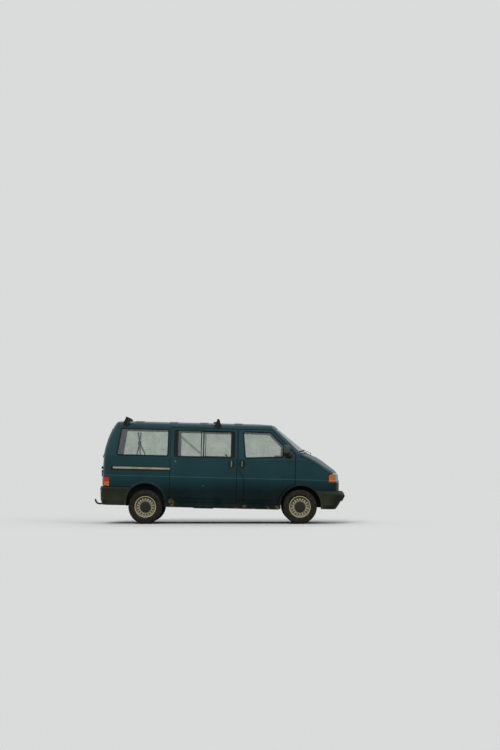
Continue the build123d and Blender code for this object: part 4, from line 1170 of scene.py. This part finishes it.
# Dashboard panels: colour, y and z from and to in millimetres, corner radius and how far they stand out in metres
DASH_PANELS = (
    ("black", 255, 555, 1110, 1160, 10, 0.003), ("grey", -90, 90, 1020, 1075, 6, 0.003),
    ("black", -85, 85, 1095, 1145, 6, 0.003), ("grey", -640, -250, 1000, 1070, 12, 0.002),
)
VENTS = (-700, -180, 180, 690)
GEAR_KNOB = ((10, -26), (19, -14), (23, 0), (20, 14), (10, 22), (3, 25))
GEAR_BOOT = ((70, 0), (60, 14), (38, 40), (20, 62), (12, 80))


def add_dashboard_details():
    """Dials behind the wheel, vents, radio, glove box lid, gear lever, hand brake and pedals."""
    tree = surface_of("dashboard")
    meshes = {"black": bmesh.new(), "grey": bmesh.new()}

    def onto(y, z, out):
        return laid_on(tree, at(2300, y, z), (1, 0, 0), out)

    def panel(colour, y0, y1, z0, z1, radius, lift, inset=4):
        levels = ((0, -0.003), (0, lift), (inset, lift + 0.002))
        add_stack(meshes[colour], oblong(y0, z0, y1, z1, radius), levels, onto)

    for row in DASH_PANELS:
        panel(*row)
    for y in VENTS:
        panel("black", y - 45, y + 45, 1100, 1145, 8, 0.004)
        for z in (1108, 1120, 1132):
            panel("grey", y - 38, y + 38, z, z + 5, 1.5, 0.006, 1)
    from_bmesh("dash_insets", meshes["black"], "body", black_plastic)
    from_bmesh("dash_panels", meshes["grey"], "body", cab_plastic)
    bm = bmesh.new()
    dial = ((26, -3), (26, 2), (24, 3), (22, 1))
    for y in (330, 405, 480):
        add_turned(bm, dial, lambda u, v, out: onto(y + u, 1136 + v * 0.75, 0.006 + out / 1000), 28)
    from_bmesh("dials", bm, "body", bright_steel, smooth=True)
    bm = bmesh.new()
    add_tube(bm, [at(2290, 40, 505), at(2285, 40, 640), at(2262, 40, 830)], 0.008)
    add_turned(bm, GEAR_KNOB, lambda u, v, out: at(2260 + u, 40 + v, 848 + out), 20)
    add_turned(bm, GEAR_BOOT, lambda u, v, out: at(2290 + u, 40 + v, 502 + out), 24)
    for y in (300, 390, 480):
        add_tube(bm, [at(2555, y, 800), at(2545, y, 680), at(2505, y, 610)], 0.006, 8)
        add_box(bm, (-1, y - 28, -1), (1, y + 28, 1), lambda u, v, w: at(2500 + u * 14 - w * 6, v, 606 + w * 26))
    from_bmesh("gear_lever_and_pedals", bm, "body", black_plastic)
    piece(
        "hand_brake", "body", black_plastic,
        add_tube, [at(2200, 150, 512), at(2130, 150, 640)], 0.010, smooth=True,
    )


# How far the door card lies inside the skin, and the arm rest as (x, height), in millimetres
CARD_IN = 56
ARM_REST = ((2010, 985), (2120, 991), (2240, 993), (2340, 1005), (2380, 1029))


def add_door_cards():
    """Trim panels with arm rests inside the front doors, and the hood over the instruments."""
    outline = dense(oblong(1905, 880, 2560, 1215, 40), 60)
    for side, label in SIDES:
        def place(x, z, inn):
            return at(x, side * (side_width(z) - CARD_IN - inn), z)

        piece(
            f"door_card_{label}", f"door_{label}", cab_plastic,
            add_stack, outline, ((0, -2), (0, 3), (10, 6), (40, 7)), place, ends=1,
        )
        piece(
            f"arm_rest_{label}", f"door_{label}", black_plastic,
            add_tube, [place(x, z, 24) for x, z in ARM_REST], 0.022, 12, flat=1.3, smooth=True,
        )
    piece(
        "instrument_hood", "body", cab_plastic,
        add_box, (2450, 230, 1225), (2640, 580, 1330), at, smooth=True, bevel=0.03,
    )


# Sun lamps: name, direction they come from, power and spread in degrees
LAMPS = (
    ("key", (-3.5, -9.0, 8.0), 1.7, 30), ("fill", (7.0, -7.0, 5.0), 0.6, 40), ("rim", (0.5, 8.0, 7.0), 0.7, 40),
)
FLOOR_SIZE = 400
CAMERA_PLACE = (REAR_AXLE.x + 1.79, -34.4, 0.96)
CAMERA_TURN = (math.radians(93.17), 0.0, math.radians(-0.32))


def add_world():
    """Soft studio light, seen directly and through glass as an even pale grey."""
    world = bpy.data.worlds.new("studio")
    world.use_nodes = True
    bpy.context.scene.world = world
    sky = Nodes(world.node_tree)
    rays = sky.node("ShaderNodeLightPath").outputs
    up = sky.height(sky.node("ShaderNodeTexCoord").outputs["Generated"])
    light = sky.ramp(sky.grey(up, -1, 1), (0.5, (0.36, 0.38, 0.36, 1)), (0.9, (0.86, 0.93, 1.0, 1)))
    seen = sky.math("MAXIMUM", rays["Is Camera Ray"], rays["Is Transmission Ray"])
    background = sky.tree.nodes["Background"].inputs
    sky.put(background["Color"], sky.mix(seen, light, (0.90, 0.91, 0.91, 1)))
    background["Strength"].default_value = 0.78


def add_floor():
    """Pale floor, matched to the world's grey where the camera sees it and dull green where it lights the body."""
    bm = bmesh.new()
    bmesh.ops.create_grid(bm, x_segments=2, y_segments=2, size=FLOOR_SIZE)
    floor = linked("floor", mesh_from(bm, "floor"))
    s = Shader("floor_grey")
    seen = s.node("ShaderNodeLightPath").outputs["Is Camera Ray"]
    under = s.mix(s.noise(0.6), srgb(70, 76, 62), srgb(82, 88, 72))
    s.set(Base_Color=s.mix(seen, under, srgb(204, 201, 198)), Roughness=0.9, Specular_IOR_Level=0.0)
    floor.data.materials.append(s.material)


def add_lights_and_camera():
    """Three soft suns, and the photograph's long-lens side view."""
    for name, place, power, spread in LAMPS:
        data = bpy.data.lights.new(name, "SUN")
        data.energy = power
        data.angle = math.radians(spread)
        lamp = linked(name, data)
        lamp.location = place
        lamp.rotation_euler = (-Vector(place)).to_track_quat("-Z", "Y").to_euler()
        lamp.visible_glossy = False
    camera = linked("camera", bpy.data.cameras.new("camera"))
    camera.data.sensor_fit = "VERTICAL"
    camera.data.sensor_height = 36
    camera.data.lens = 85
    camera.data.clip_end = 900
    camera.location = CAMERA_PLACE
    camera.rotation_euler = CAMERA_TURN
    bpy.context.scene.camera = camera
    bpy.context.scene.view_settings.view_transform = "Standard"


for wheel, side, centre in WHEELS:
    add_slotted_rim(wheel, side, centre)
    add_tyre(wheel, centre)
    add_hub_cap(wheel, side, centre)
add_window_seals()
add_window_borders()
add_wipers()
add_plates()
add_tailgate_fittings()
add_locks()
add_handle_grips()
add_rail_trim()
add_mirrors()
add_arch_ends()
add_underbody()
add_reflectors()
add_belts()
add_door_seals()
add_seats()
add_dashboard_details()
add_door_cards()
add_world()
add_floor()
add_lights_and_camera()
